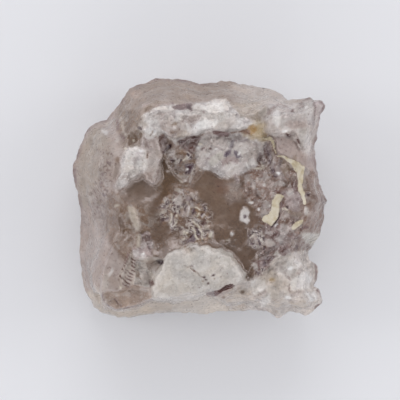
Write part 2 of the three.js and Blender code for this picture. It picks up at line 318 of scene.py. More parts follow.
        (4.4, 1.2), (4.06, 1.3), (3.84, 1.38), (3.48, 1.5), (3.16, 1.66), (3.0, 2.02)], z=6.15, tilt=(0.1,
        0.1), edge=0.15, soft=0.08),
    "horn": zone("icy", "horn", [
        (2.6, 3.06), (2.84, 3.38), (2.88, 3.62), (3.2, 3.78), (3.6, 3.74), (3.96, 3.78), (4.12, 3.98),
        (4.4, 4.25), (4.9, 4.15), (5.25, 3.66), (5.1, 3.3), (4.94, 3.02), (4.94, 2.66), (4.86, 2.3),
        (4.74, 1.9), (4.24, 1.82), (4.0, 1.94), (3.92, 2.22), (3.68, 2.46), (3.32, 2.58), (2.92, 2.46),
        (2.64, 2.66)], z=6.4, dome=0.25, edge=0.15, soft=0.08),
    "horn tip": zone("satin", "horn_violet", [
        (4.56, 4.2), (5.2, 3.9), (5.2, 3.3), (4.8, 3.1), (4.6, 3.3)], soft=0.08, cover=0.8),
    "horn side": zone("satin", "frost", [
        (3.96, 2.6), (4.3, 2.7), (4.36, 2.1), (4.1, 1.96), (4.0, 2.2)], soft=0.1, cover=0.7),

    # The front: window, striped facet, corner block, plate and lobe
    "small crystals": zone("frost", "lilac", [
        (-2.6, -2.02), (-2.28, -1.94), (-2.0, -2.02), (-1.96, -2.34), (-2.16, -2.54), (-2.44, -2.5),
        (-2.56, -2.3)], rise=0.1),
    "green window": zone("icy", "grey_green", [
        (-2.56, -2.48), (-2.12, -2.5), (-1.68, -2.42), (-1.38, -2.48), (-1.52, -2.9), (-1.72, -3.18),
        (-1.88, -3.42), (-2.16, -3.8), (-2.48, -3.8), (-2.64, -3.42), (-2.64, -2.9)], z=5.5, edge=0.15,
        soft=0.08),
    "striped facet": zone("skin", "striped", [
        (-2.72, -2.18), (-2.6, -2.46), (-2.6, -3.1), (-2.66, -3.52), (-2.86, -3.6), (-3.1, -3.5),
        (-3.2, -3.14), (-2.94, -2.7)], z=5.5, tilt=(0.2, 0.0), edge=0.08, soft=0.03),
    "corner block": zone("matte", "corner", [
        (-3.9, -3.86), (-3.7, -3.76), (-3.3, -3.8), (-3.05, -3.7), (-2.8, -3.54), (-2.4, -3.5),
        (-2.0, -3.56), (-1.88, -3.98), (-1.96, -4.14), (-2.28, -4.24), (-2.6, -4.36), (-3.1, -4.44),
        (-3.46, -4.56), (-3.72, -4.48), (-3.88, -4.24)], z=5.15, tilt=(0.05, 0.2), edge=0.1, soft=0.05),
    "violet crystals": zone("broken", "violet", [
        (-2.32, -1.48), (-2.04, -1.42), (-1.92, -1.7), (-2.0, -2.02), (-2.28, -1.94)], rise=0.05,
        cover=0.8),
    "tooth": zone("skin", "tooth", [
        (-2.9, -0.36), (-2.7, -0.42), (-2.54, -0.62), (-2.42, -1.0), (-2.41, -1.26), (-2.52, -1.28),
        (-2.65, -1.06), (-2.8, -0.76)], rise=0.08, edge=0.04, soft=0.03),
    "sliver": zone("skin", "tooth", [
        (-2.46, -1.48), (-2.34, -1.48), (-2.36, -1.9), (-2.5, -1.94)], rise=0.1, edge=0.04),
    "lobe": zone("icy", "lobe", [
        (0.88, -4.02), (1.2, -3.78), (1.44, -3.58), (1.72, -3.4), (2.14, -3.36), (2.36, -3.1),
        (2.72, -2.78), (3.04, -2.5), (3.36, -2.38), (3.76, -2.26), (4.12, -2.18), (4.5, -2.24),
        (4.76, -2.58), (4.9, -2.9), (4.94, -3.22), (4.86, -3.5), (5.06, -3.7), (5.2, -3.98), (5.1, -4.28),
        (4.7, -4.7), (4.36, -4.9), (4.04, -5.0), (3.6, -4.9), (3.36, -5.0), (3.12, -5.0), (2.72, -4.9),
        (2.32, -4.8), (1.8, -4.7), (1.28, -4.42), (0.96, -4.22)], z=5.15, dome=0.2, reach=0.5, edge=0.15,
        soft=0.06),
    "lobe west": zone("satin", "lobe_beige", [
        (0.8, -4.1), (1.3, -3.6), (1.8, -3.5), (2.0, -3.9), (1.8, -4.6), (1.2, -4.6)], rise=-0.12,
        edge=0.2, soft=0.2, cover=0.8),
    "lobe beige": zone("satin", "lobe_beige", [
        (2.4, -3.0), (2.9, -2.9), (3.2, -3.2), (3.3, -4.2), (2.9, -4.6), (2.7, -3.7)], soft=0.25,
        cover=0.7),
    "plate": zone("matte", "plate", [
        (-1.48, -2.58), (-1.36, -2.38), (-1.12, -2.18), (-0.76, -2.02), (-0.4, -1.94), (0.0, -1.98),
        (0.4, -2.02), (0.88, -2.14), (1.24, -2.3), (1.32, -2.42), (1.48, -2.58), (1.6, -2.78),
        (1.76, -3.02), (1.72, -3.26), (1.52, -3.42), (1.24, -3.46), (0.88, -3.58), (0.56, -3.7),
        (0.24, -3.74), (0.08, -3.82), (-0.24, -3.98), (-0.8, -4.06), (-1.36, -4.1), (-1.68, -4.06),
        (-1.88, -4.06), (-1.96, -3.82), (-1.92, -3.5), (-1.76, -3.22), (-1.6, -2.94)], z=5.85, dome=0.12,
        edge=0.12),
    # Painted shade in the crevice under the plate's front edge
    "front crevice": zone("glass", "gap", [
        (0.24, -3.8), (0.56, -3.72), (0.8, -3.6), (1.0, -3.48), (1.3, -3.44), (1.42, -3.52), (1.2, -3.6),
        (0.9, -3.68), (0.6, -3.88), (0.3, -3.94)], rise=-0.12, edge=0.05),
    # Painted shadow in the slit under the ridge's lip
    "ridge slit": zone("glass", "slit", [
        (-1.14, 3.58), (-0.8, 3.68), (-0.32, 3.68), (-0.34, 3.48), (-0.7, 3.4), (-1.0, 3.48)], rise=-0.08,
        edge=0.05),
    # Painted shade in the gap between the ridge and the mound
    "ridge gap": zone("satin", "slit", [
        (0.54, 2.66), (0.76, 2.66), (1.0, 2.6), (1.14, 2.52), (1.02, 2.44), (0.78, 2.44), (0.6, 2.52)],
        rise=-0.08, edge=0.05),
    "amber pocket": zone("matte", "amber", [
        (1.96, 2.66), (2.22, 2.86), (2.48, 2.76), (2.56, 2.58), (2.46, 2.38), (2.16, 2.5), (1.8, 2.56)],
        z=6.0, edge=0.2, soft=0.1, sparkle=0.0),

    # Sparkling broken patches
    "squiggle patch": zone("glitter", "smoke", [
        (-1.48, -0.1), (-1.2, 0.06), (-0.96, 0.3), (-0.64, 0.34), (-0.32, 0.22), (-0.16, -0.02),
        (-0.16, -0.38), (-0.32, -0.74), (-0.56, -0.82), (-0.8, -1.14), (-1.04, -1.26), (-1.2, -0.98),
        (-1.52, -0.98), (-1.6, -0.58)], rise=0.06, edge=0.2, soft=0.2, sparkle=0.9),
    "lattice patch": zone("glitter", "deep_smoke", [
        (-0.32, -0.46), (-0.04, -0.34), (0.24, -0.42), (0.4, -0.74), (0.36, -1.14), (0.44, -1.54),
        (0.2, -1.74), (-0.16, -1.82), (-0.48, -1.9), (-0.72, -1.7), (-0.64, -1.38), (-0.44, -1.14),
        (-0.36, -0.82)], rise=0.06, edge=0.2, soft=0.2, sparkle=0.8),
    "white spot": zone("matte", "frost", [
        (1.62, -0.52), (1.76, -0.4), (1.9, -0.44), (1.96, -0.6), (1.92, -0.76), (1.98, -0.9),
        (1.86, -1.02), (1.74, -0.94), (1.6, -0.86), (1.64, -0.7)], rise=0.08, edge=0.06),
    "east sparkle": zone("glitter", "skin", [
        (1.92, -1.54), (2.12, -1.34), (2.4, -1.3), (2.52, -1.62), (2.44, -1.94), (2.24, -2.02),
        (2.0, -1.94)], rise=0.05, soft=0.08, sparkle=1.2),
    "south-east sparkle": zone("glitter", "dark_violet", [
        (2.1, -2.6), (2.4, -2.5), (2.8, -2.5), (2.7, -2.8), (2.3, -3.0)], soft=0.08, sparkle=1.2,
        cover=0.8),
    "rim sparkle": zone("glitter", "lilac", [
        (2.9, 1.3), (3.2, 1.3), (3.4, 1.0), (3.2, 0.8), (2.9, 1.0)], soft=0.08, sparkle=0.6, cover=0.7),
}

# Broken faces with straight sides: (tint, cover, rise, corners)
FACETS = [
    # Groove behind the left ledge
    ("pocket", 0.6, -0.03, [
        (-2.86, 3.3), (-2.56, 3.26), (-2.58, 2.7), (-2.44, 2.3), (-2.6, 2.04), (-2.86, 2.04),
        (-2.92, 2.7)]),
    # Ridge
    ("rim_facet", 0.7, -0.03, [(-2.05, 3.26), (-1.55, 3.36), (-1.25, 3.46), (-1.5, 3.22)]),
    ("rim_facet", 0.7, -0.04, [(-0.55, 3.25), (0.05, 3.3), (0.0, 3.1), (-0.3, 2.9), (-0.8, 2.95)]),
    ("glint", 0.6, 0.05, [(-0.35, 2.72), (-0.1, 3.0), (0.2, 3.1), (0.85, 3.05), (0.5, 2.7)]),
    ("pale_band", 0.7, 0.0, [(0.75, 2.95), (1.3, 3.3), (1.55, 2.95), (1.0, 2.66), (0.55, 2.72)]),
    ("glint", 0.6, 0.04, [(0.05, 3.6), (0.45, 3.75), (0.9, 3.8), (0.95, 3.4), (0.35, 3.36)]),
    ("glint", 0.6, 0.04, [(-2.3, 2.72), (-1.95, 2.85), (-1.72, 2.6), (-1.8, 2.34), (-2.15, 2.36)]),
    ("lobe_beige", 0.7, 0.02, [(-1.0, 2.45), (-0.6, 2.6), (-0.2, 2.58), (-0.8, 2.34)]),
    # Painted shade in the gap between the ridge and the mound
    ("slit", 1.0, 0.0, [
        (0.54, 2.68), (0.76, 2.66), (1.12, 2.6), (1.18, 2.5), (1.1, 2.42), (0.78, 2.4), (0.6, 2.5)]),
    # Mound
    ("lilac", 0.9, -0.03, [(0.21, 1.54), (0.56, 1.86), (0.66, 1.74), (0.38, 1.44)]),
    ("pale_rim", 0.9, 0.03, [
        (0.37, 1.36), (0.56, 1.72), (0.82, 1.84), (0.98, 1.72), (0.94, 1.52), (0.82, 1.49),
        (0.56, 1.24)]),
    ("lilac", 0.9, -0.02, [
        (0.85, 1.11), (0.88, 1.49), (1.39, 1.7), (1.58, 1.52), (1.52, 1.36), (1.26, 1.43), (0.96, 1.3)]),
    ("frost", 0.9, 0.04, [
        (1.2, 1.94), (1.3, 2.13), (1.84, 2.13), (1.81, 1.88), (1.68, 1.62), (1.54, 1.66), (1.52, 1.81),
        (1.33, 1.91)]),
    ("frost", 0.9, 0.04, [
        (0.98, 1.3), (1.26, 1.38), (1.54, 1.3), (1.55, 1.11), (1.33, 0.96), (1.04, 1.06)]),
    ("mound_violet", 1.0, -0.04, [(0.94, 1.62), (1.02, 1.82), (1.22, 1.98), (1.24, 1.72), (1.06, 1.56)]),
    ("mound_violet", 1.0, -0.04, [(1.34, 1.94), (1.52, 1.88), (1.66, 1.62), (1.48, 1.58), (1.38, 1.76)]),
    ("mound_violet", 0.3, -0.03, [(1.18, 2.38), (1.9, 2.3), (1.8, 2.16), (1.34, 2.18)]),
    ("mound_violet", 0.9, -0.04, [(1.14, 2.0), (1.24, 2.34), (1.38, 2.3), (1.26, 1.98)]),
    ("dark_violet", 0.8, -0.06, [(2.36, 1.8), (2.58, 1.7), (2.66, 1.32), (2.46, 1.22), (2.3, 1.44)]),
    ("lilac", 0.8, 0.04, [(1.36, 0.98), (1.54, 0.94), (1.52, 0.6), (1.4, 0.52)]),
    ("cream", 0.7, 0.03, [(2.42, 1.46), (2.5, 1.4), (2.58, 1.14), (2.46, 1.14)]),
    # Shoulder
    ("cleft", 0.9, -0.05, [
        (-1.62, 2.45), (-1.45, 2.53), (-1.34, 2.35), (-1.32, 2.12), (-1.45, 1.74), (-1.57, 1.99)]),
    ("black_violet", 0.9, -0.05, [
        (-1.36, 2.08), (-1.12, 2.16), (-1.12, 2.02), (-1.34, 1.86), (-1.48, 1.66), (-1.46, 1.8)]),
    ("dark_violet", 0.8, -0.05, [
        (-0.92, 2.22), (-0.56, 2.44), (0.1, 2.5), (-0.09, 2.05), (-0.32, 1.7), (-0.67, 1.92)]),
    # Left ledge, the pocket under it, shoulder
    ("horn", 0.7, 0.04, [(-2.16, 1.44), (-1.9, 1.84), (-1.56, 1.4), (-1.66, 1.12), (-1.98, 1.1)]),
    ("ridge_brown", 0.7, -0.02, [(-2.16, 1.02), (-1.64, 1.02), (-1.76, 0.62), (-2.0, 0.64)]),
    ("violet", 0.7, -0.03, [(-2.2, 2.4), (-2.1, 2.38), (-2.04, 1.86), (-2.14, 1.9)]),
    ("rim_facet", 0.7, 0.02, [(-1.98, 2.34), (-1.74, 2.34), (-1.72, 1.86), (-1.88, 1.92)]),
    ("deep_smoke", 0.3, -0.02, [
        (-3.04, 0.24), (-2.82, 0.54), (-2.56, 0.74), (-2.2, 0.72), (-2.14, 0.3), (-2.2, -0.1),
        (-2.6, 0.1), (-2.9, -0.04)]),
    ("ledge_grey", 0.7, 0.03, [(-1.22, 1.9), (-0.98, 1.94), (-0.96, 1.7), (-1.32, 1.62)]),
    ("black_violet", 1.0, -0.06, [
        (-0.58, 1.3), (-0.28, 1.36), (-0.26, 1.16), (-0.36, 0.92), (-0.56, 0.9)]),
    # Slope and rim, from the mound down to the lobe
    # Painted shadow on the slope beside the mound
    ("dark_violet", 0.9, -0.05, [(2.48, 2.1), (2.64, 2.28), (2.86, 1.9), (2.9, 1.4), (2.74, 1.2)]),
    ("ledge_grey", 0.6, 0.03, [(2.38, 1.9), (2.56, 1.7), (2.64, 1.44), (2.5, 1.5)]),
    ("groove", 0.9, -0.02, [(3.2, 1.5), (3.44, 1.44), (3.64, 1.2), (3.4, 0.86), (3.22, 1.1)]),
    ("skin", 0.7, 0.04, [(2.3, 0.6), (2.6, 0.72), (3.0, 0.6), (2.9, 0.36), (2.36, 0.42)]),
    ("dark_violet", 0.7, -0.04, [(2.86, 0.34), (3.3, 0.26), (3.5, 0.06), (3.2, 0.02)]),
    ("dark_violet", 0.8, -0.04, [(3.66, 0.6), (3.88, 0.72), (3.96, 0.2), (3.72, 0.14)]),
    ("frost", 0.7, 0.04, [(3.4, 0.2), (3.66, 0.32), (3.74, 0.14), (3.56, 0.0)]),
    ("dark_violet", 0.9, -0.05, [(3.2, 0.02), (3.38, -0.08), (3.3, -0.5), (3.16, -0.94), (3.14, -0.3)]),
    ("ledge_grey", 0.8, 0.04, [(3.38, -0.46), (3.54, -0.6), (3.6, -0.8), (3.3, -0.8)]),
    ("groove", 0.8, -0.02, [(3.6, -0.5), (4.1, -0.6), (4.1, -0.84), (3.64, -0.8)]),
    ("ledge_grey", 0.7, 0.03, [(4.1, 1.14), (4.4, 1.2), (4.36, 0.88), (4.14, 0.84)]),
    ("horn", 0.7, 0.03, [(3.2, -1.02), (3.48, -1.06), (3.62, -1.26), (3.4, -1.6), (3.22, -1.4)]),
    ("dark_violet", 0.9, -0.05, [(2.86, -1.5), (3.12, -1.34), (3.18, -1.48), (2.9, -1.66)]),
    ("horn", 0.8, 0.04, [(2.6, -1.7), (2.82, -1.66), (3.06, -1.86), (2.9, -2.02), (2.66, -1.92)]),
    ("horn", 0.8, 0.04, [(2.98, -1.58), (3.16, -1.54), (3.24, -1.74), (3.08, -1.8)]),
    ("pale_rim", 0.8, 0.04, [(2.96, -2.2), (3.14, -2.04), (3.2, -2.3), (2.9, -2.34)]),
    ("dark_violet", 0.8, -0.04, [(3.22, -2.0), (3.46, -1.8), (3.56, -2.2), (3.4, -2.36), (3.22, -2.28)]),
    ("skin", 0.8, 0.03, [(3.6, -1.7), (3.84, -1.6), (3.9, -1.96), (3.64, -2.06)]),
    ("pit", 0.8, -0.05, [(2.62, -2.4), (3.1, -2.36), (2.9, -2.56), (2.64, -2.72)]),
    ("frost", 0.8, 0.04, [(2.06, -2.62), (2.26, -2.58), (2.34, -2.82), (2.12, -2.86)]),
    ("lilac", 0.8, 0.04, [(2.4, -2.6), (2.54, -2.58), (2.5, -2.8), (2.38, -2.76)]),
    ("horn", 0.9, 0.03, [(4.9, -0.08), (5.1, -0.16), (5.08, -0.34), (4.94, -0.42)]),
    # Horn and rim facet
    ("glint", 0.6, 0.04, [(2.9, 3.38), (3.16, 3.5), (3.26, 3.1), (3.1, 2.76), (2.88, 3.0)]),
    ("pale_band", 0.8, 0.02, [(2.6, 2.6), (2.7, 2.82), (3.04, 2.76), (3.0, 2.52), (2.7, 2.46)]),
    ("rim_facet", 0.7, -0.03, [(3.3, 2.92), (3.6, 3.06), (4.12, 3.0), (4.3, 2.8), (3.6, 2.76)]),
    ("frost", 0.6, 0.04, [(4.16, 3.8), (4.46, 3.8), (4.44, 3.0), (4.2, 3.04)]),
    ("ledge_grey", 0.7, -0.03, [(4.36, 2.9), (4.74, 2.9), (4.7, 2.3), (4.4, 2.2)]),
    ("violet", 0.9, -0.05, [(4.48, 3.9), (4.54, 3.88), (4.58, 3.4), (4.54, 2.94), (4.48, 3.4)]),
    ("violet", 0.8, -0.03, [(4.5, 4.02), (4.72, 3.96), (5.0, 3.7), (4.9, 3.66), (4.66, 3.86)]),
    ("violet", 0.8, -0.03, [(4.9, 3.7), (5.0, 3.66), (4.84, 3.24), (4.74, 3.12), (4.76, 3.34)]),
    ("horn", 0.7, 0.03, [(4.6, 3.8), (4.84, 3.64), (4.7, 3.3), (4.62, 3.1)]),
    ("groove", 0.8, -0.03, [(3.64, 1.62), (3.82, 1.7), (3.86, 1.38), (3.66, 1.38)]),
    # Amber pocket
    ("rust", 0.9, -0.04, [(1.5, 2.62), (1.8, 2.74), (2.0, 2.7), (2.0, 2.46), (1.8, 2.5)]),
    ("orange", 0.8, 0.0, [(1.86, 2.66), (1.94, 2.88), (2.22, 2.86), (2.3, 2.66), (2.04, 2.5)]),
    # Squiggles and lattice: painted light and dark reflections, the large dark ones of the dark lens
    ("horn", 0.9, 0.04, [(-1.02, -0.12), (-0.88, 0.14), (-0.74, 0.06), (-0.74, -0.24), (-0.98, -0.34)]),
    ("lilac", 0.9, 0.03, [(-0.64, -0.02), (-0.5, 0.16), (-0.4, 0.06), (-0.44, -0.18), (-0.58, -0.14)]),
    ("horn", 0.8, 0.04, [(-0.42, -0.2), (-0.26, -0.18), (-0.22, -0.38), (-0.36, -0.44)]),
    ("ledge_grey", 0.7, 0.03, [(-0.42, 0.2), (-0.26, 0.2), (-0.22, 0.04), (-0.38, 0.0)]),
    ("black_violet", 0.9, -0.04, [(-0.34, -0.5), (-0.2, -0.44), (-0.16, -0.6), (-0.32, -0.72)]),
    ("black_violet", 1.0, -0.05, [
        (-0.24, -1.2), (-0.06, -1.18), (0.04, -1.44), (-0.04, -1.6), (-0.18, -1.5)]),
    ("black_violet", 1.0, -0.05, [
        (-0.4, -1.5), (-0.22, -1.44), (-0.12, -1.66), (-0.26, -1.8), (-0.6, -1.8), (-0.46, -1.62)]),
    ("dark_violet", 0.9, -0.04, [(0.0, -1.06), (0.16, -0.9), (0.28, -1.06), (0.14, -1.16)]),
    ("lobe_beige", 0.7, 0.03, [(0.18, -1.1), (0.4, -1.12), (0.4, -1.3), (0.16, -1.34)]),
    ("frost", 0.9, 0.04, [(-0.6, -2.0), (-0.4, -1.84), (-0.1, -1.8), (0.0, -1.98)]),
    # Window and crystals at the front left
    ("haze", 0.6, -0.03, [(-2.16, -2.6), (-1.92, -2.48), (-1.6, -2.66), (-1.7, -2.92), (-2.1, -2.92)]),
    ("groove", 0.9, -0.03, [(-2.62, -2.9), (-2.4, -2.96), (-2.34, -3.24), (-2.6, -3.2)]),
    ("dark_violet", 0.8, -0.03, [(-2.1, -3.3), (-1.86, -3.26), (-1.82, -3.46), (-2.02, -3.5)]),
    ("mound", 0.8, 0.04, [(-2.66, -2.06), (-2.4, -2.0), (-2.36, -2.36), (-2.6, -2.4)]),
    # Lobe and foot
    # Painted light, lightening the front foot, whose steep slope gets less of the light
    ("glint", 0.25, 0.0, [(-1.1, -4.16), (0.4, -3.94), (1.2, -4.26), (1.6, -4.9), (-1.2, -4.9)]),
    ("glint", 0.5, 0.04, [
        (3.56, -3.4), (3.9, -3.1), (4.16, -2.9), (4.48, -3.2), (4.38, -3.64), (3.64, -3.7)]),
    ("glint", 0.35, 0.03, [(3.4, -2.56), (3.7, -2.4), (4.08, -2.56), (4.0, -2.84), (3.5, -2.84)]),
    ("glint", 0.6, 0.04, [(4.2, -3.8), (4.6, -3.74), (4.7, -4.1), (4.36, -4.2)]),
    ("lobe_beige", 0.8, 0.0, [(3.6, -4.2), (4.2, -4.14), (4.3, -4.4), (3.7, -4.5)]),
    ("glint", 0.5, 0.04, [(1.96, -3.4), (2.2, -3.24), (2.56, -3.26), (2.7, -3.6), (2.16, -3.9)]),
    ("glint", 0.4, 0.03, [(2.4, -4.1), (2.88, -3.8), (2.8, -4.24), (2.46, -4.5)]),
    ("rim_facet", 0.6, -0.04, [(2.26, -3.9), (2.64, -3.6), (2.66, -3.76), (2.44, -3.98)]),
    ("rim_facet", 0.6, -0.04, [(3.5, -3.7), (3.9, -3.72), (4.24, -3.7), (3.9, -3.92), (3.6, -3.96)]),
]

# Small pits, grains and painted glints: (x, y, half length, half width, turn in degrees, rise, tint)
SPOTS = [
    # Back band and ridge
    (-1.12, 3.72, 0.07, 0.05, 0, -0.03, "violet"),
    (-0.42, 3.57, 0.09, 0.08, 0, -0.05, "pit"),
    (-2.56, 4.14, 0.25, 0.18, 0, 0.0, "corner"),
    (-1.0, 2.92, 0.12, 0.07, 15, -0.03, "groove"),
    (-1.08, 2.62, 0.12, 0.07, 0, -0.03, "haze"),
    (0.12, 3.42, 0.07, 0.04, -10, -0.03, "violet"),
    # Left face
    # The light spots here are painted glints
    (-3.82, 2.6, 0.16, 0.09, -25, 0.03, "frost"),
    (-3.36, 2.26, 0.09, 0.09, 0, 0.03, "pale_band"),
    (-3.66, 2.9, 0.14, 0.1, 30, 0.02, "pale_band"),
    (-2.98, 1.94, 0.06, 0.05, 0, 0.03, "cream"),
    (-2.66, 2.26, 0.05, 0.05, 0, 0.03, "cream"),
    (-2.34, 1.84, 0.08, 0.04, 0, 0.03, "glint"),
    (-3.32, 1.5, 0.12, 0.14, 0, -0.02, "haze"),
    (-4.0, 1.08, 0.07, 0.06, 0, -0.04, "groove"),
    (-3.86, 0.94, 0.05, 0.05, 0, -0.03, "violet"),
    (-4.16, 0.62, 0.05, 0.08, 0, -0.04, "groove"),
    (-3.92, 0.6, 0.06, 0.08, 30, -0.03, "violet"),
    (-4.38, 0.14, 0.07, 0.07, 0, -0.04, "groove"),
    (-3.82, 0.12, 0.08, 0.06, 0, -0.04, "violet"),
    (-4.08, 0.28, 0.06, 0.06, 0, -0.04, "haze"),
    (-3.72, 1.38, 0.05, 0.05, 0, -0.03, "violet"),
    (-3.72, 1.74, 0.05, 0.06, 0, -0.03, "groove"),
    (-4.12, -0.22, 0.06, 0.06, 0, -0.04, "groove"),
    (-5.06, 1.08, 0.07, 0.08, 0, -0.03, "dark_violet"),
    (-5.04, 0.78, 0.05, 0.09, 0, -0.03, "violet"),
    (-3.56, -3.0, 0.06, 0.18, -12, 0.04, "frost"),
    (-3.78, -3.4, 0.12, 0.35, -14, 0.02, "pale_band"),
    # Ledges and left shoulder
    (-2.4, 2.7, 0.08, 0.05, -30, -0.05, "pit"),
    (-2.24, 2.88, 0.1, 0.08, 40, -0.03, "grey_green"),
    (-1.2, 2.06, 0.08, 0.07, 20, -0.06, "black_violet"),
    (-1.08, 1.5, 0.09, 0.07, 0, -0.05, "pit"),
    (-0.72, 2.2, 0.12, 0.05, 0, -0.04, "pit"),
    (-0.2, 2.4, 0.08, 0.06, 0, -0.04, "pit"),
    (-0.58, 1.5, 0.1, 0.04, 50, 0.03, "cream"),
    (-0.5, 1.1, 0.04, 0.05, 0, 0.04, "glint"),
    (-0.76, 0.66, 0.1, 0.05, -40, 0.03, "saddle"),
    # Mound
    (0.14, 1.96, 0.1, 0.04, 20, -0.04, "dark_violet"),
    (0.46, 1.96, 0.07, 0.05, 0, -0.04, "dark_violet"),
    (1.54, 1.78, 0.04, 0.06, 0, 0.04, "glint"),
    (0.02, 2.18, 0.06, 0.05, 0, 0.04, "cream"),
    (0.5, 2.3, 0.04, 0.06, 0, 0.04, "glint"),
    (0.7, 1.96, 0.06, 0.05, 20, 0.04, "glint"),
    (-0.04, 2.0, 0.04, 0.06, 0, 0.04, "glint"),
    (1.9, 1.26, 0.04, 0.1, 40, 0.04, "glint"),
    # Slope, rim and horn
    (2.58, 0.48, 0.06, 0.06, 20, 0.04, "glint"),
    (2.3, 0.66, 0.06, 0.1, -10, 0.04, "ledge_grey"),
    (2.16, 0.44, 0.06, 0.08, -10, 0.04, "ledge_grey"),
    (3.1, 0.94, 0.09, 0.07, -40, 0.04, "glint"),
    (2.92, 1.26, 0.08, 0.06, 40, 0.04, "lilac"),
    (2.92, 1.06, 0.07, 0.09, 0, -0.05, "black_violet"),
    (3.0, 0.84, 0.1, 0.04, -20, -0.04, "black_violet"),
    (3.46, -0.42, 0.07, 0.05, 0, -0.05, "black_violet"),
    (3.66, -1.02, 0.11, 0.05, 10, -0.05, "pit"),
    (4.24, -0.52, 0.07, 0.2, 15, 0.02, "frost"),
    (4.28, 0.1, 0.09, 0.08, 0, -0.06, "pit"),
    (3.88, -1.98, 0.05, 0.08, 20, -0.03, "pit"),
    (3.66, 3.44, 0.07, 0.06, 0, -0.03, "dark_violet"),
    (4.18, 3.58, 0.06, 0.06, 0, 0.03, "glint"),
    (3.36, 2.66, 0.12, 0.05, 0, 0.04, "glint"),
    (2.78, 2.74, 0.2, 0.16, 0, 0.02, "pale_band"),
    # Hollow
    (2.04, -0.2, 0.08, 0.05, -20, 0.05, "glint"),
    (2.36, -0.48, 0.04, 0.05, 0, 0.04, "glint"),
    (2.58, -0.34, 0.05, 0.07, 0, 0.04, "lilac"),
    (2.78, -0.34, 0.05, 0.06, 0, 0.04, "frost"),
    (1.26, -1.48, 0.06, 0.05, -40, 0.05, "glint"),
    (1.1, -1.72, 0.09, 0.06, 10, 0.04, "lobe_beige"),
    (0.46, -1.5, 0.07, 0.14, -15, 0.05, "cream"),
    (1.8, -0.74, 0.08, 0.06, 10, -0.06, "black_violet"),
    (2.1, -1.86, 0.12, 0.05, -20, -0.04, "black_violet"),
    (2.2, -1.96, 0.08, 0.04, 20, 0.04, "frost"),
    (2.56, -1.98, 0.04, 0.08, -30, -0.04, "black_violet"),
    (2.56, -2.66, 0.06, 0.08, 0, -0.05, "black_violet"),
    (-0.86, -0.36, 0.09, 0.06, 0, -0.04, "black_violet"),
    (0.22, -0.48, 0.06, 0.07, 0, -0.05, "black_violet"),
    (-1.34, -0.88, 0.09, 0.05, 20, -0.04, "black_violet"),
    (-1.44, -0.4, 0.09, 0.05, -30, -0.04, "black_violet"),
    # Pocket and window
    (-3.32, -0.34, 0.11, 0.06, 20, 0.03, "tooth"),
    (-3.16, -0.96, 0.24, 0.2, 0, -0.01, "haze"),
    (-3.2, -1.46, 0.2, 0.14, 0, -0.03, "haze"),
    (-2.04, -1.98, 0.07, 0.06, 0, -0.04, "pit"),
    (-2.28, -2.24, 0.06, 0.06, 0, 0.06, "glint"),
    (-2.32, -2.44, 0.1, 0.06, 20, 0.04, "frost"),
    (-1.56, -2.58, 0.12, 0.09, -20, -0.06, "black_violet"),
    (-3.14, -3.58, 0.06, 0.08, 0, 0.03, "cream"),
    # Plate
    (0.18, -3.18, 0.06, 0.05, 0, -0.04, "pit"),
    (0.24, -3.3, 0.05, 0.04, 30, -0.03, "pit"),
    (0.5, -3.1, 0.09, 0.04, 40, -0.04, "pit"),
    (0.12, -3.36, 0.05, 0.04, 0, -0.03, "groove"),
    (0.3, -3.42, 0.05, 0.04, 0, -0.03, "pit"),
    (0.54, -3.26, 0.05, 0.04, 0, -0.03, "groove"),
    (-0.34, -2.74, 0.07, 0.03, -15, -0.03, "violet"),
    (-0.22, -2.92, 0.07, 0.04, -45, -0.03, "dark_violet"),
    # Lobe
    (2.9, -3.28, 0.12, 0.1, 0, -0.03, "amber_soft"),
    (3.52, -4.0, 0.14, 0.06, -15, 0.04, "glint"),
    (3.6, -2.82, 0.12, 0.08, 0, 0.04, "glint"),
    (3.9, -3.02, 0.08, 0.06, 0, -0.03, "rim_facet"),
    (0.96, -3.98, 0.08, 0.06, 0, -0.03, "haze"),
    (1.7, -3.76, 0.08, 0.07, 0, -0.03, "groove"),
]

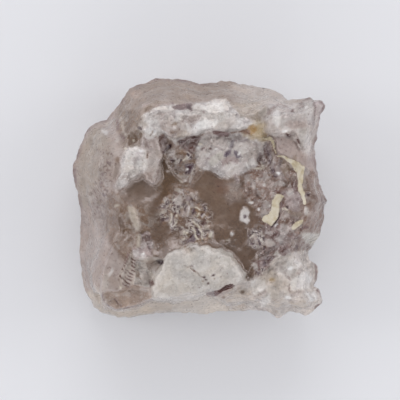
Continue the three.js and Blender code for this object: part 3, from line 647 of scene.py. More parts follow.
# Cracks, ribs and streaks: (tint, width, rise, corners)
STROKES = [
    ("rim_facet", 0.14, -0.02, [(-2.3, 3.66), (-1.7, 3.68), (-1.2, 3.7)]),
    ("cleft", 0.14, -0.04, [(-3.28, 3.1), (-3.24, 2.7), (-3.04, 2.3)]),
    ("saddle", 0.1, 0.03, [(-3.12, 3.2), (-3.06, 2.7), (-2.9, 2.3)]),
    ("haze", 0.08, -0.05, [(-2.16, 2.3), (-2.14, 1.9), (-2.08, 1.6)]),
    ("haze", 0.1, -0.05, [(-2.04, 2.24), (-2.0, 2.0)]),
    ("pale_band", 0.07, 0.04, [(-1.7, 2.1), (-1.72, 1.5), (-1.84, 0.7)]),
    ("groove", 0.05, -0.03, [(-1.88, 2.66), (-1.96, 2.46)]),
    ("cream", 0.05, 0.03, [(2.0, 1.12), (2.2, 1.18), (2.44, 1.12)]),
    ("black_violet", 0.08, -0.04, [(2.62, 2.2), (2.7, 1.9), (2.84, 1.6), (2.8, 1.34)]),
    ("dark_violet", 0.1, -0.04, [(3.4, 2.54), (3.7, 2.44), (3.9, 2.3), (3.96, 2.12)]),
    ("rim_facet", 0.14, -0.05, [(2.76, 3.38), (2.96, 3.58), (3.2, 3.66), (3.44, 3.62)]),
    ("rim_facet", 0.12, -0.05, [(4.02, 3.8), (4.06, 3.44)]),
    ("cream", 0.07, 0.02, [(2.02, 2.92), (2.24, 2.96)]),
    ("rust", 0.07, -0.05, [(1.16, 2.56), (1.5, 2.62), (1.8, 2.6)]),
    ("black_violet", 0.06, -0.06, [(2.74, -1.24), (3.06, -0.92), (3.2, -0.66)]),
    ("glint", 0.04, 0.03, [(2.96, -1.12), (3.1, -0.98)]),
    ("cream", 0.05, 0.03, [(1.96, -1.62), (2.12, -1.46)]),
    ("black_violet", 0.05, -0.04, [(1.9, -1.58), (2.06, -1.42)]),
    ("cream", 0.05, 0.03, [(3.3, -0.42), (3.5, -0.5), (3.6, -0.6)]),
    ("dark_violet", 0.1, -0.05, [(4.02, -1.3), (4.2, -1.18), (4.34, -1.14)]),
    ("violet", 0.1, -0.04, [(4.84, 0.0), (4.92, -0.3), (4.96, -0.6)]),
    ("haze", 0.05, -0.04, [(-0.72, -2.66), (-0.46, -2.8), (-0.16, -2.96), (0.12, -3.2)]),
    ("violet", 0.08, -0.03, [
        (-3.88, -3.8), (-3.92, -4.0), (-3.78, -4.26), (-3.54, -4.46), (-3.2, -4.48), (-2.7, -4.38),
        (-2.2, -4.26), (-1.9, -4.1)]),
    ("violet", 0.05, -0.03, [(-3.72, -4.2), (-3.44, -4.06), (-3.14, -4.34)]),
    ("groove", 0.07, -0.03, [(-3.86, -3.86), (-3.5, -3.78), (-3.1, -3.78), (-2.7, -3.66)]),
    # Squiggles and lattice: painted light and dark reflections
    ("horn", 0.09, 0.04, [(-0.42, -0.2), (-0.44, -0.5), (-0.52, -0.7), (-0.72, -0.74)]),
    ("black_violet", 0.09, -0.05, [(-0.56, -0.36), (-0.58, -0.52), (-0.66, -0.66)]),
    ("cream", 0.06, 0.03, [(-1.36, -0.42), (-1.2, -0.24)]),
    ("black_violet", 0.05, -0.05, [(-1.38, -0.3), (-1.22, -0.12)]),
    ("cream", 0.05, 0.03, [(-1.16, -0.64), (-1.16, -0.9), (-1.22, -1.02)]),
    ("black_violet", 0.06, -0.05, [(-1.0, -0.58), (-1.08, -0.8), (-1.06, -1.06)]),
    ("cream", 0.06, 0.03, [(-0.96, -0.7), (-0.94, -1.0), (-1.02, -1.14)]),
    ("cream", 0.05, 0.03, [(-0.36, -0.44), (-0.1, -0.42), (0.02, -0.52), (-0.1, -0.74)]),
    ("horn", 0.11, 0.05, [(0.16, -0.68), (-0.04, -0.96), (-0.26, -0.86)]),
    ("black_violet", 0.07, -0.05, [(0.2, -0.5), (0.06, -0.72)]),
    ("cream", 0.08, 0.05, [(-0.28, -0.98), (-0.1, -1.12), (0.06, -1.4), (0.1, -1.62)]),
    ("cream", 0.07, 0.05, [(-0.32, -1.2), (-0.22, -1.4), (-0.1, -1.68)]),
    ("cream", 0.1, 0.05, [(-0.6, -1.34), (-0.68, -1.62)]),
    ("cream", 0.05, 0.03, [(-0.56, -1.42), (-0.38, -1.3)]),
    ("violet", 0.12, -0.02, [(4.6, -2.7), (4.66, -3.1), (4.62, -3.5)]),
    ("violet", 0.1, -0.02, [(4.7, -3.7), (4.92, -4.0), (4.88, -4.2), (4.6, -4.42)]),
    ("rim_facet", 0.08, -0.04, [(3.4, -3.0), (3.58, -3.3), (3.54, -3.7)]),
]

# Stripes on the facet at the front left, each reaching as far to both sides of its middle
STRIPE_COUNT = 9
STRIPES_FROM = (-3.04, -3.42)
STRIPES_TO = (-2.68, -2.40)
STRIPE_HALF = (0.19, -0.17)
for stripe in range(STRIPE_COUNT):
    share = stripe / (STRIPE_COUNT - 1)
    stripe_x = STRIPES_FROM[0] + share * (STRIPES_TO[0] - STRIPES_FROM[0])
    stripe_y = STRIPES_FROM[1] + share * (STRIPES_TO[1] - STRIPES_FROM[1])
    STROKES.append(("gap", 0.06, -0.04,
                    [(stripe_x - STRIPE_HALF[0], stripe_y - STRIPE_HALF[1]),
                     (stripe_x + STRIPE_HALF[0], stripe_y + STRIPE_HALF[1])]))

# Ochre deposit: veins as (x, y, width) along their length, and one patch by its outline
VEINS = [
    [(2.48, 2.38, 0.06), (2.8, 2.36, 0.12), (2.96, 2.06, 0.12), (3.04, 1.78, 0.05)],
    [
        (3.1, 1.63, 0.08), (3.36, 1.58, 0.14), (3.6, 1.42, 0.18), (3.84, 1.28, 0.36), (3.97, 1.14, 0.4),
        (4.0, 0.86, 0.26), (3.98, 0.5, 0.16), (4.05, 0.14, 0.18), (4.18, -0.2, 0.13)],
    [(3.68, -1.22, 0.12), (3.88, -1.08, 0.12), (4.12, -0.9, 0.05)],
]
OCHRE_PATCH = [
    (3.08, 0.1), (3.36, 0.02), (3.16, -0.22), (3.16, -0.66), (2.96, -0.98), (2.76, -1.14), (2.64, -0.98),
    (2.44, -0.9), (2.52, -0.7), (2.8, -0.58), (2.88, -0.3), (2.92, -0.06),
]

# ---- repeatable noise, in numpy ----

# Added to every coordinate, to keep it above zero
NOISE_START = 1000.0
# A turn of 1 radian about a slanting axis, so that creases don't follow X, Y and Z
TURN = np.array(Matrix.Rotation(1.0, 3, Vector((0.5, 0.7, 0.4))))


def lattice(ix, iy, iz, seed):
    """A number from 0 to 1 for each whole-number point, scattered by large odd factors."""
    mixed = (ix * 73856093) ^ (iy * 19349663) ^ (iz * 83492791) ^ (seed * 374761393)
    mixed = (mixed ^ (mixed >> 13)) & 0xFFFFFFFF
    mixed = (mixed * 1274126177) & 0xFFFFFFFF
    mixed = (mixed ^ (mixed >> 16)) & 0xFFFFFF
    return mixed / float(0x1000000)


def smooth(points, size, seed):
    """Smooth noise from -1 to 1 with bumps about size apart."""
    scaled = points / size + NOISE_START
    base = np.floor(scaled).astype(np.int64)
    share = scaled - base
    share = share * share * share * (share * (share * 6 - 15) + 10)
    total = np.zeros(len(points))
    for corner in np.ndindex(2, 2, 2):
        weight = np.ones(len(points))
        for axis in range(3):
            along = share[:, axis]
            weight = weight * (along if corner[axis] else 1 - along)
        cell = base + np.array(corner)
        total += weight * lattice(*cell.T, seed)
    return total * 2 - 1


def cloudy(points, size, seed, octaves=3):
    """Smooth noise with finer noise added to it, each octave half the size and strength."""
    total = np.zeros(len(points))
    strength = 1.0
    for octave in range(octaves):
        total += strength * smooth(points, size / 2 ** octave, seed + octave)
        strength *= 0.5
    return total / (2 - 2 * strength)


def crumple(points, size, seed):
    """Flat faces that meet in sharp creases, about size across. From -1 to 1."""
    scaled = points @ TURN / size + NOISE_START
    base = np.floor(scaled).astype(np.int64)
    share = scaled - base
    order = np.argsort(-share, axis=1)
    sorted_share = np.take_along_axis(share, order, axis=1)
    corner = base.copy()
    rows = np.arange(len(points))
    value = (1 - sorted_share[:, 0]) * lattice(*corner.T, seed)
    for step in range(3):
        corner[rows, order[:, step]] += 1
        beyond = sorted_share[:, step + 1] if step < 2 else 0.0
        value += (sorted_share[:, step] - beyond) * lattice(*corner.T, seed)
    return value * 2 - 1


def smoothstep(value, low, high):
    """Rises smoothly from 0 to 1 as value goes from low to high."""
    share = np.clip((value - low) / (high - low), 0, 1)
    return share * share * (3 - 2 * share)


# ---- distances on the plan ----

FAR = 1e9
# Sizes of the bends, kinks and nicks in the borders of what is drawn on the top
BORDER_BEND = 0.7
BORDER_KINK = 0.4
BORDER_NICK = 0.16


def flat_points(x, y):
    """The points (x, y, 0), one in each row."""
    return np.column_stack([x.ravel(), y.ravel(), np.zeros(x.size)])


def beside_line(x, y, start, end):
    """For each point, how far along a straight line it is, from 0 to 1, and how far off it."""
    (ax, ay), (bx, by) = start, end
    ex, ey = bx - ax, by - ay
    along = np.clip(((x - ax) * ex + (y - ay) * ey) / (ex * ex + ey * ey), 0, 1)
    return along, np.hypot(x - ax - along * ex, y - ay - along * ey)


def line_distance(x, y, corners):
    """How far each point is from a line with corners."""
    shortest = np.full(x.shape, FAR)
    for start, end in zip(corners, corners[1:]):
        shortest = np.minimum(shortest, beside_line(x, y, start, end)[1])
    return shortest


def inside_distance(x, y, outline):
    """How far each point is inside an outline; negative outside it."""
    corners = np.array([*outline, outline[0]], dtype=float)
    inside = np.zeros(x.shape, dtype=bool)
    for (ax, ay), (bx, by) in zip(corners, corners[1:]):
        if ay != by:
            inside ^= ((ay > y) != (by > y)) & (x < (y - ay) * (bx - ax) / (by - ay) + ax)
    shortest = line_distance(x, y, corners)
    return np.where(inside, shortest, -shortest)


def vein_inside(x, y, vein):
    """How far each point is inside a vein; negative outside it."""
    deepest = np.full(x.shape, -FAR)
    for (ax, ay, a_width), (bx, by, b_width) in zip(vein, vein[1:]):
        along, gap = beside_line(x, y, (ax, ay), (bx, by))
        half_width = 0.5 * (a_width + along * (b_width - a_width))
        deepest = np.maximum(deepest, half_width - gap)
    return deepest


def wander(x, y, coarse, fine):
    """The same points moved about a little, so that what is drawn there gets ragged edges."""
    flat = flat_points(x, y)
    moved = []
    for axis, start in enumerate((x, y)):
        seed = 11 + 40 * axis
        offset = coarse * cloudy(flat, BORDER_BEND, seed, octaves=2)
        offset += coarse * crumple(flat, BORDER_KINK, seed + 1)
        offset += fine * crumple(flat, BORDER_NICK, seed + 2)
        moved.append(start + offset.reshape(x.shape))
    return moved


# ---- the plan of the top ----

# The plan's grid: its step, and how far it reaches from the origin along x and y
PLAN_STEP = 0.025
PLAN_REACH = (5.5, 5.2)
PLAN_X, PLAN_Y = (np.arange(-reach, reach + PLAN_STEP / 2, PLAN_STEP) for reach in PLAN_REACH)

# Shares of the light that the gloss and the matt colour send back to the camera
GLOSS_SHARE = 0.08
MATT_SHARE = 0.80
ALBEDO_RANGE = (0.01, 0.95)

# How far the borders of zones and of marks wander, coarsely and finely
ZONE_WANDER = (0.055, 0.035)
MARK_WANDER = (0.03, 0.05)

# The step at a zone's border is wider here and narrower there, in patches of this size
STEP_MEAN = 1.1
STEP_SWING = 0.9
STEP_PATCH = 0.5
# A zone is worked out in the box round its outline, widened by this
ZONE_MARGIN = 0.8
# How fine the gaps in strokes are, and the noise between which they close
GAP_SIZE = 0.14
GAP_RANGE = (-0.75, 0.0)

# Where a mark's cover begins and ends: distances in from a facet's sides, and distances from
# the middle of a spot or a stroke, as shares of the spot's half size and the stroke's width
FACET_EDGE = (-0.03, 0.04)
SPOT_EDGE = (0.6, 1.4)
STROKE_EDGE = (0.2, 0.7)
# What a mark takes away of the frost and the chips under it
MARK_FROST_LOSS = 0.6
MARK_CHIPS_LOSS = 0.7
# Marks deeper than this are glassy
GLASSY_RISE = -0.035
GLASSY_CLEAR = 0.5


def albedo(tint):
    """The matt colour, in linear light, with which a zone under the studio light looks tint."""
    value = np.array(TINTS[tint]) / 255.0
    light = np.where(value <= 0.04045, value / 12.92, ((value + 0.055) / 1.055) ** 2.4)
    return np.clip((light - GLOSS_SHARE) / MATT_SHARE, *ALBEDO_RANGE)


def plan_of_top():
    """Height, colour and surface character of the top, on a fine grid seen from above."""
    x, y = np.meshgrid(PLAN_X, PLAN_Y, indexing="ij")
    plan = {"z": GROUND_Z - GROUND_FALL * (x * x + y * y)}
    for key, value in zip(CHARACTER, KINDS["skin"]):
        plan[key] = np.full(x.shape, value)
    plan["tint"] = np.tile(albedo("skin"), x.shape + (1,))
    zone_places = wander(x, y, *ZONE_WANDER)
    for entry in ZONES.values():
        lay_zone(plan, entry, *zone_places)
    mark_places = wander(x, y, *MARK_WANDER)
    for facet in FACETS:
        lay_facet(plan, facet, *mark_places)
    for spot in SPOTS:
        lay_spot(plan, spot, *mark_places)
    gaps = smooth(flat_points(x, y), GAP_SIZE, seed=91).reshape(x.shape)
    unbroken = smoothstep(gaps, *GAP_RANGE)
    for stroke in STROKES:
        lay_stroke(plan, stroke, *mark_places, unbroken)
    return plan


def lay_zone(plan, entry, x, y):
    """Lays one zone over the plan of the top."""
    outline = np.array(entry["outline"])
    low = outline.min(axis=0) - ZONE_MARGIN
    high = outline.max(axis=0) + ZONE_MARGIN
    near = (x > low[0]) & (x < high[0]) & (y > low[1]) & (y < high[1])
    px, py = x[near], y[near]
    within = inside_distance(px, py, entry["outline"])
    patches = smooth(flat_points(px, py), STEP_PATCH, seed=len(outline))
    width = STEP_MEAN + STEP_SWING * patches

    edge = entry["edge"] * width
    cover = smoothstep(within, -edge, edge)
    height = plan["z"][near]
    if entry["z"] is not None:
        middle_x, middle_y = outline.mean(axis=0)
        tilt_x, tilt_y = entry["tilt"]
        level = entry["z"] + tilt_x * (px - middle_x) + tilt_y * (py - middle_y)
        crown = entry["dome"] * (1 - np.exp(-np.clip(within, 0, None) / entry["reach"]))
        height = height + (level + crown - height) * cover
    plan["z"][near] = height + entry["rise"] * cover

    # The colour runs down half of the step at the border, unless the zone is sunk
    soft = entry["soft"] * width
    wall = 0.5 * edge if entry["rise"] >= 0 else 0
    paint = smoothstep(within + wall, -soft, soft) * entry["cover"]
    for key, value in entry["surface"].items():
        plan[key][near] += (value - plan[key][near]) * paint
    plan["tint"][near] += (albedo(entry["tint"]) - plan["tint"][near]) * paint[:, None]


def lay_mark(plan, cover, rise, tint):
    """Lays one small mark, of which the deep ones are glassy, over the plan of the top."""
    plan["z"] += rise * cover
    plan["tint"] += (albedo(tint) - plan["tint"]) * cover[..., None]
    plan["sparkle"] *= 1 - cover
    plan["frost"] *= 1 - MARK_FROST_LOSS * cover
    plan["chips"] *= 1 - MARK_CHIPS_LOSS * cover
    if rise < GLASSY_RISE:
        plan["clear"] += (GLASSY_CLEAR - plan["clear"]) * cover


def lay_facet(plan, facet, x, y):
    """Lays one broken face over the plan of the top."""
    tint, cover, rise, corners = facet
    cover = cover * smoothstep(inside_distance(x, y, corners), *FACET_EDGE)
    lay_mark(plan, cover, rise, tint)


def lay_spot(plan, spot, x, y):
    """Lays one pit, grain or glint over the plan of the top."""
    cx, cy, length, width, turn, rise, tint = spot
    cos, sin = math.cos(math.radians(turn)), math.sin(math.radians(turn))
    across = ((x - cx) * cos + (y - cy) * sin) / length
    along = ((y - cy) * cos - (x - cx) * sin) / width
    lay_mark(plan, 1 - smoothstep(np.hypot(across, along), *SPOT_EDGE), rise, tint)


def lay_stroke(plan, stroke, x, y, unbroken):
    """Lays one crack, rib or streak over the plan of the top, with gaps in it."""
    tint, width, rise, corners = stroke
    core, rim = STROKE_EDGE
    cover = 1 - smoothstep(line_distance(x, y, corners), core * width, rim * width)
    lay_mark(plan, cover * unbroken, rise, tint)


def read_plan(values, x, y):
    """The plan's value at each (x, y), blended between its grid points."""
    # Places stay just short of the last grid point, so that there is always one beyond them
    gx = np.clip((x - PLAN_X[0]) / PLAN_STEP, 0, len(PLAN_X) - 1.001)
    gy = np.clip((y - PLAN_Y[0]) / PLAN_STEP, 0, len(PLAN_Y) - 1.001)
    ix, iy = gx.astype(int), gy.astype(int)
    sx, sy = gx - ix, gy - iy
    if values.ndim == 3:
        sx, sy = sx[..., None], sy[..., None]
    low = values[ix, iy] * (1 - sx) + values[ix + 1, iy] * sx
    high = values[ix, iy + 1] * (1 - sx) + values[ix + 1, iy + 1] * sx
    return low * (1 - sy) + high * sy


# ---- the solid and its surface ----

# Unevenness of the outline
RAGGED_DEPTH = 0.06
RAGGED_SIZE = 0.22
# Broad flats cut into the flanks: how far off the girdle they reach their full depth, and how
# close to the flanks they are worked out
FLAT_DEPTH = 0.3
FLAT_SIZE = 1.4
FLAT_FROM = 0.7
FLAT_BAND = 0.45


def flank_at(x, y):
    """Girdle height, shoulder height, shoulder inset and foot inset at each point's bearing."""
    bearings, *columns = np.array(FLANKS, dtype=float).T
    bearing = np.degrees(np.arctan2(y, x)) % 360
    return [np.interp(bearing, bearings, column, period=360) for column in columns]


def flank_inset(z, girdle, shoulder, inset, foot):
    """How far in from the outline the stone's surface is at height z."""
    below = np.clip(1 - z / girdle, 0, 1)
    above = np.clip((z - girdle) / (shoulder - girdle), 0, 1)
    under = foot * (1 - (1 - below ** FOOT_CURVE) ** (1 / FOOT_CURVE))
    over = inset * (1 - (1 - above) ** (1 / SHOULDER_CURVE))
    return np.where(z < girdle, under, over)


def stone_field(plan, xs, ys, zs):
    """A number at each grid point that is negative inside the stone."""
    x, y = np.meshgrid(xs, ys, indexing="ij")
    ragged = RAGGED_DEPTH * cloudy(flat_points(x, y), RAGGED_SIZE, seed=51).reshape(x.shape)
    within = inside_distance(x, y, OUTLINE) + ragged
    girdle, shoulder, inset, foot = flank_at(x, y)
    top = read_plan(plan["z"], x, y)
    field = np.empty((len(xs), len(ys), len(zs)), dtype=np.float32)
    for level, z in enumerate(zs):
        side = flank_inset(z, girdle, shoulder, inset, foot) - within
        near = np.abs(side) < FLAT_BAND
        points = np.column_stack([x[near], y[near], np.full(near.sum(), z)])
        away = np.clip(np.abs(z - girdle[near]) / FLAT_FROM, 0, 1)
        carve = 0.5 + 0.5 * crumple(points, FLAT_SIZE, seed=61)
        side[near] += FLAT_DEPTH * away * carve
        solid = np.maximum(side, z - top)
        field[:, :, level] = np.maximum(solid, -z)
    return field


def net_vertices(field, cells):
    """The middle of the places where the field changes sign on each cell's edges."""
    total = np.zeros((len(cells), 3))
    crossings = np.zeros(len(cells))
    for axis in range(3):
        others = [other for other in range(3) if other != axis]
        for sides in np.ndindex(2, 2):
            start = cells.copy()
            start[:, others] += sides
            end = start.copy()
            end[:, axis] += 1
            first = field[tuple(start.T)]
            last = field[tuple(end.T)]
            cuts = (first < 0) != (last < 0)
            share = np.where(cuts, first / np.where(cuts, first - last, 1), 0)
            point = start.astype(float)
            point[:, axis] += share
            total += point * cuts[:, None]
            crossings += cuts
    return total / crossings[:, None]


def net_quads(inside, number, axis):
    """One quad, facing outwards, round each grid edge along axis that goes in or out."""
    others = [other for other in range(3) if other != axis]
    changes = np.argwhere(np.diff(inside, axis=axis))
    flipped = inside[tuple(changes.T)] == (axis == 1)
    ring = []
    for sides in ((0, 0), (1, 0), (1, 1), (0, 1)):
        cell = changes.copy()
        cell[:, others] -= sides
        ring.append(number[tuple(cell.T)])
    quads = np.stack(ring, axis=1)
    quads[flipped] = quads[flipped][:, ::-1]
    return quads


def surface_net(field, origin, step):
    """Vertices and quads of the closed surface where the field changes sign."""
    inside = field < 0
    count = np.zeros(tuple(n - 1 for n in field.shape), dtype=np.int8)
    for corner in np.ndindex(2, 2, 2):
        window = tuple(slice(c, n - 1 + c) for c, n in zip(corner, field.shape))
        count += inside[window]
    active = (count > 0) & (count < 8)
    cells = np.argwhere(active)
    number = np.full(active.shape, -1, dtype=np.int64)
    number[active] = np.arange(len(cells))
    vertices = np.array(origin) + net_vertices(field, cells) * np.array(step)
    quads = [net_quads(inside, number, axis) for axis in range(3)]
    return vertices, np.concatenate(quads)


def vertex_normals(vertices, quads):
    """Outward unit normal at each vertex of a quad mesh."""
    across = vertices[quads[:, 2]] - vertices[quads[:, 0]]
    along = vertices[quads[:, 3]] - vertices[quads[:, 1]]
    face = np.cross(across, along)
    normal = np.zeros_like(vertices)
    for corner in range(4):
        for axis in range(3):
            normal[:, axis] += np.bincount(quads[:, corner], face[:, axis], len(vertices))
    length = np.linalg.norm(normal, axis=1, keepdims=True)
    return normal / np.maximum(length, 1e-9)


# Where the sides end and the top begins: inset from the outline, height, and how much the
# surface looks up. Below the foot's heights all of it is side.
SIDE_INSETS = (0.3, 1.2)
SIDE_HEIGHTS = (4.4, 5.2)
SIDE_SLOPES = (0.0, 0.35)
FOOT_HEIGHTS = (0.3, 1.2)
# Patches of the sides that are broken and frosted: size, and the noise between which they begin
ROUGH_SIZE = 1.5
ROUGH_RANGE = (-0.05, 0.35)
# Broken faces: their sizes, the share of the finer ones, and how far their creases wander
FACET_SIZE = 0.55
FINE_FACET_SIZE = 0.27
FINE_FACET_SHARE = 0.6
GRIT_SIZE = 0.14
BEND = 0.12
BEND_SIZE = 0.4
# How much higher the faces stand on the rough patches, and the broad swellings of the sides
ROUGH_FACET = 0.06
SWELL = 0.11
SWELL_SIZE = 1.9
# How far off the girdle the sides are broken, how far the surface may sink and rise in all,
# and the heights between which it becomes level where the stone rests
OFF_GIRDLE = (0.3, 1.0)
RELIEF_RANGE = (-0.2, 0.15)
RESTING_HEIGHTS = (0.02, 0.25)


def side_share(vertices, upward):
    """1 on the stone's steep sides and underneath, 0 on its top."""
    x, y, z = vertices.T
    within = inside_distance(x, y, OUTLINE)
    outer = np.maximum(1 - smoothstep(within, *SIDE_INSETS), 1 - smoothstep(z, *SIDE_HEIGHTS))
    steep = 1 - smoothstep(upward, *SIDE_SLOPES)
    return np.maximum(steep * outer, 1 - smoothstep(z, *FOOT_HEIGHTS))


def rough_patches(vertices):
    """1 where the stone's sides are broken and frosted, 0 where they are smooth."""
    return smoothstep(cloudy(vertices, ROUGH_SIZE, seed=97), *ROUGH_RANGE)


def break_surface(vertices, normals, plan):
    """Pushes the surface in and out as small broken faces, level where it rests."""
    x, y, z = vertices.T
    bends = [smooth(vertices, BEND_SIZE, seed=5 + axis) for axis in range(3)]
    bent = vertices + BEND * np.column_stack(bends)
    # The sides keep their outline as seen from above, so they stay smooth near the girdle
    off_girdle = smoothstep(np.abs(z - flank_at(x, y)[0]), *OFF_GIRDLE)
    side = side_share(vertices, normals[:, 2]) * off_girdle
    height = read_plan(plan["facet"], x, y) + ROUGH_FACET * side * rough_patches(vertices)
    faces = crumple(bent, FACET_SIZE, seed=71)
    relief = height * (faces + FINE_FACET_SHARE * crumple(bent, FINE_FACET_SIZE, seed=72))
    relief += read_plan(plan["grit"], x, y) * crumple(vertices, GRIT_SIZE, seed=91)
    relief += SWELL * side * crumple(bent, SWELL_SIZE, seed=74)
    relief = np.clip(relief, *RELIEF_RANGE)
    relief *= smoothstep(z, *RESTING_HEIGHTS)
    moved = vertices + normals * relief[:, None]
    moved[:, 2] = np.clip(moved[:, 2], 0, STONE_TOP)
    return moved


# ---- meshes ----

# The net starts between two levels, so that none of them lies in the flat underside
NET_STEP = (0.045, 0.045, 0.06)
NET_LOW = (-5.35, -5.05, -2.5 * NET_STEP[2])
NET_HIGH = (5.35, 5.05, 7.4)
STONE_TRIANGLES = 190000

# The ochre's crusts: how far they stand out of the stone and sink into it, and how far their
# borders wander. The rest says where their nets begin and end.
OCHRE_STANDS = 0.035
OCHRE_SINKS = 0.12
OCHRE_WANDER = (0.04, 0.05)
OCHRE_STEP = (0.035, 0.035, 0.035)
OCHRE_LEVELS = (4.6, 6.9)
OCHRE_PATCH_LOW = (2.2, -1.4)
OCHRE_PATCH_HIGH = (3.6, 0.4)
VEIN_MARGIN = 0.3
# A crust's upper side is what looks up at least this much
UPPER_SIDE = 0.3


def mesh_object(name, vertices, faces):
    """A mesh object from millimetre vertices and faces."""
    mesh = bpy.data.meshes.new(name)
    mesh.from_pydata((vertices * MM).tolist(), [], faces.tolist())
    mesh.update()
    piece = bpy.data.objects.new(name, mesh)
    bpy.context.scene.collection.objects.link(piece)
    return piece


def vertex_values(mesh, name):
    """The places ("co") or normals ("normal") of a mesh's vertices, in the mesh's own units."""
    values = np.empty(len(mesh.vertices) * 3)
    mesh.vertices.foreach_get(name, values)
    return values.reshape(-1, 3)


def make_stone(plan):
    """The whole stone as one closed mesh."""
    xs, ys, zs = (np.arange(*ends) for ends in zip(NET_LOW, NET_HIGH, NET_STEP))
    field = stone_field(plan, xs, ys, zs)
    vertices, quads = surface_net(field, (xs[0], ys[0], zs[0]), NET_STEP)
    vertices = break_surface(vertices, vertex_normals(vertices, quads), plan)
    stone = mesh_object("rough_diamond_crystal", vertices, quads)
    thin_out(stone)
    return stone


def make_crust(plan, name, low, high, inside):
    """Ochre on the stone as a thin closed mesh; inside says how far in each (x, y) is."""
    ends = zip((*low, OCHRE_LEVELS[0]), (*high, OCHRE_LEVELS[1]), OCHRE_STEP)
    xs, ys, zs = (np.arange(*end) for end in ends)
    field = stone_field(plan, xs, ys, zs)
    x, y = np.meshgrid(xs, ys, indexing="ij")
    border = -inside(*wander(x, y, *OCHRE_WANDER))[..., None]
    layer = np.maximum(field - OCHRE_STANDS, -field - OCHRE_SINKS)
    vertices, quads = surface_net(np.maximum(layer, border), (xs[0], ys[0], zs[0]), OCHRE_STEP)
    # The broken faces move its upper side along its normals and the rest straight up or down
    normals = vertex_normals(vertices, quads)
    ways = np.where(normals[:, 2:] > UPPER_SIDE, normals, (0.0, 0.0, 1.0))
    return mesh_object(name, break_surface(vertices, ways, plan), quads)


def make_crusts(plan):
    """All of the ochre: the veins and the patch."""
    crusts = []
    for number, vein in enumerate(VEINS, 1):
        places = np.array(vein)[:, :2]
        low = places.min(axis=0) - VEIN_MARGIN
        high = places.max(axis=0) + VEIN_MARGIN
        inside = partial(vein_inside, vein=vein)
        crusts.append(make_crust(plan, "ochre_vein_%d" % number, low, high, inside))
    inside = partial(inside_distance, outline=OCHRE_PATCH)
    crusts.append(make_crust(plan, "ochre_patch", OCHRE_PATCH_LOW, OCHRE_PATCH_HIGH, inside))
    return crusts


# Faces are kept where the surface looks up and lies high enough; the rest is spared in steps
KEPT_SLOPES = (0.0, 0.4)
KEPT_HEIGHTS = (0.5, 2.0)
SPARE_STEPS = 8
SPARE_FACTOR = 2.0


def thin_out(stone):
    """Fewer faces, most of all on the stone's sides and underneath."""
    mesh = stone.data
    heights = vertex_values(mesh, "co")[:, 2] / MM
    upward = vertex_values(mesh, "normal")[:, 2]
    spare = 1 - smoothstep(upward, *KEPT_SLOPES) * smoothstep(heights, *KEPT_HEIGHTS)
    group = stone.vertex_groups.new(name="spare")
    steps = np.round(spare * SPARE_STEPS)
    for step in np.unique(steps):
        members = np.flatnonzero(steps == step)
        group.add(members.tolist(), float(step) / SPARE_STEPS, "REPLACE")
    thin = stone.modifiers.new("thin", "DECIMATE")
    thin.ratio = STONE_TRIANGLES / (2 * len(mesh.polygons))
    thin.vertex_group = group.name
    thin.vertex_group_factor = SPARE_FACTOR
    apply_modifiers(stone)
    stone.vertex_groups.clear()


def apply_modifiers(piece):
    """Replaces the piece's mesh by what its modifiers make of it."""
    graph = bpy.context.evaluated_depsgraph_get()
    made = bpy.data.meshes.new_from_object(piece.evaluated_get(graph))
    piece.modifiers.clear()
    piece.data = made


# ---- values kept on the mesh ----

# A violet line of painted shade along the stone's border: where it lies, how strong it is, and how
# much it comes and goes. It ends towards the front and where the photograph's back is blurred.
LINE_INSETS = (0.04, 0.16)
LINE_SLOPES = (0.0, 0.2)
LINE_STRENGTH = 0.6
LINE_SWING = 0.7
LINE_PATCH = 0.35
FRONT_END = (-2.0, 0.0)
BLURRED_FROM_X = (1.0, 1.6)
BLURRED_TO_X = (3.9, 4.3)
BLURRED_FROM_Y = (3.0, 3.5)
# How much of the side's own colour its steep parts take
SIDE_COLOUR = 0.7
# Faint streaks round the smooth skin: strength, how much weaker they get towards the right
# and where, size, and the scales of the height and the bearing along which they run
STREAKS = 0.07
STREAKS_LESS = 0.04
STREAKS_FADE_X = (2.5, 3.5)
STREAK_SIZE = 0.14
STREAK_HEIGHT = 0.6
STREAK_ROUND = 0.5


def border_shade(x, y, within, upward):
    """Strength of the violet line of painted shade."""
    line = (1 - smoothstep(within, *LINE_INSETS)) * smoothstep(upward, *LINE_SLOPES)
    blurred = smoothstep(x, *BLURRED_FROM_X) * (1 - smoothstep(x, *BLURRED_TO_X))
    blurred = blurred * smoothstep(y, *BLURRED_FROM_Y)
    line *= LINE_STRENGTH * smoothstep(y, *FRONT_END) * (1 - blurred)
    return line * (1 + LINE_SWING * smooth(flat_points(x, y), LINE_PATCH, seed=96))


def streaked(x, y, z, within):
    """Noise that is drawn out round the stone."""
    bearing = np.arctan2(y, x)
    ways = np.column_stack([within + STREAK_HEIGHT * z, STREAK_ROUND * np.cos(bearing),
                            STREAK_ROUND * np.sin(bearing)])
    return cloudy(ways, STREAK_SIZE, seed=95)


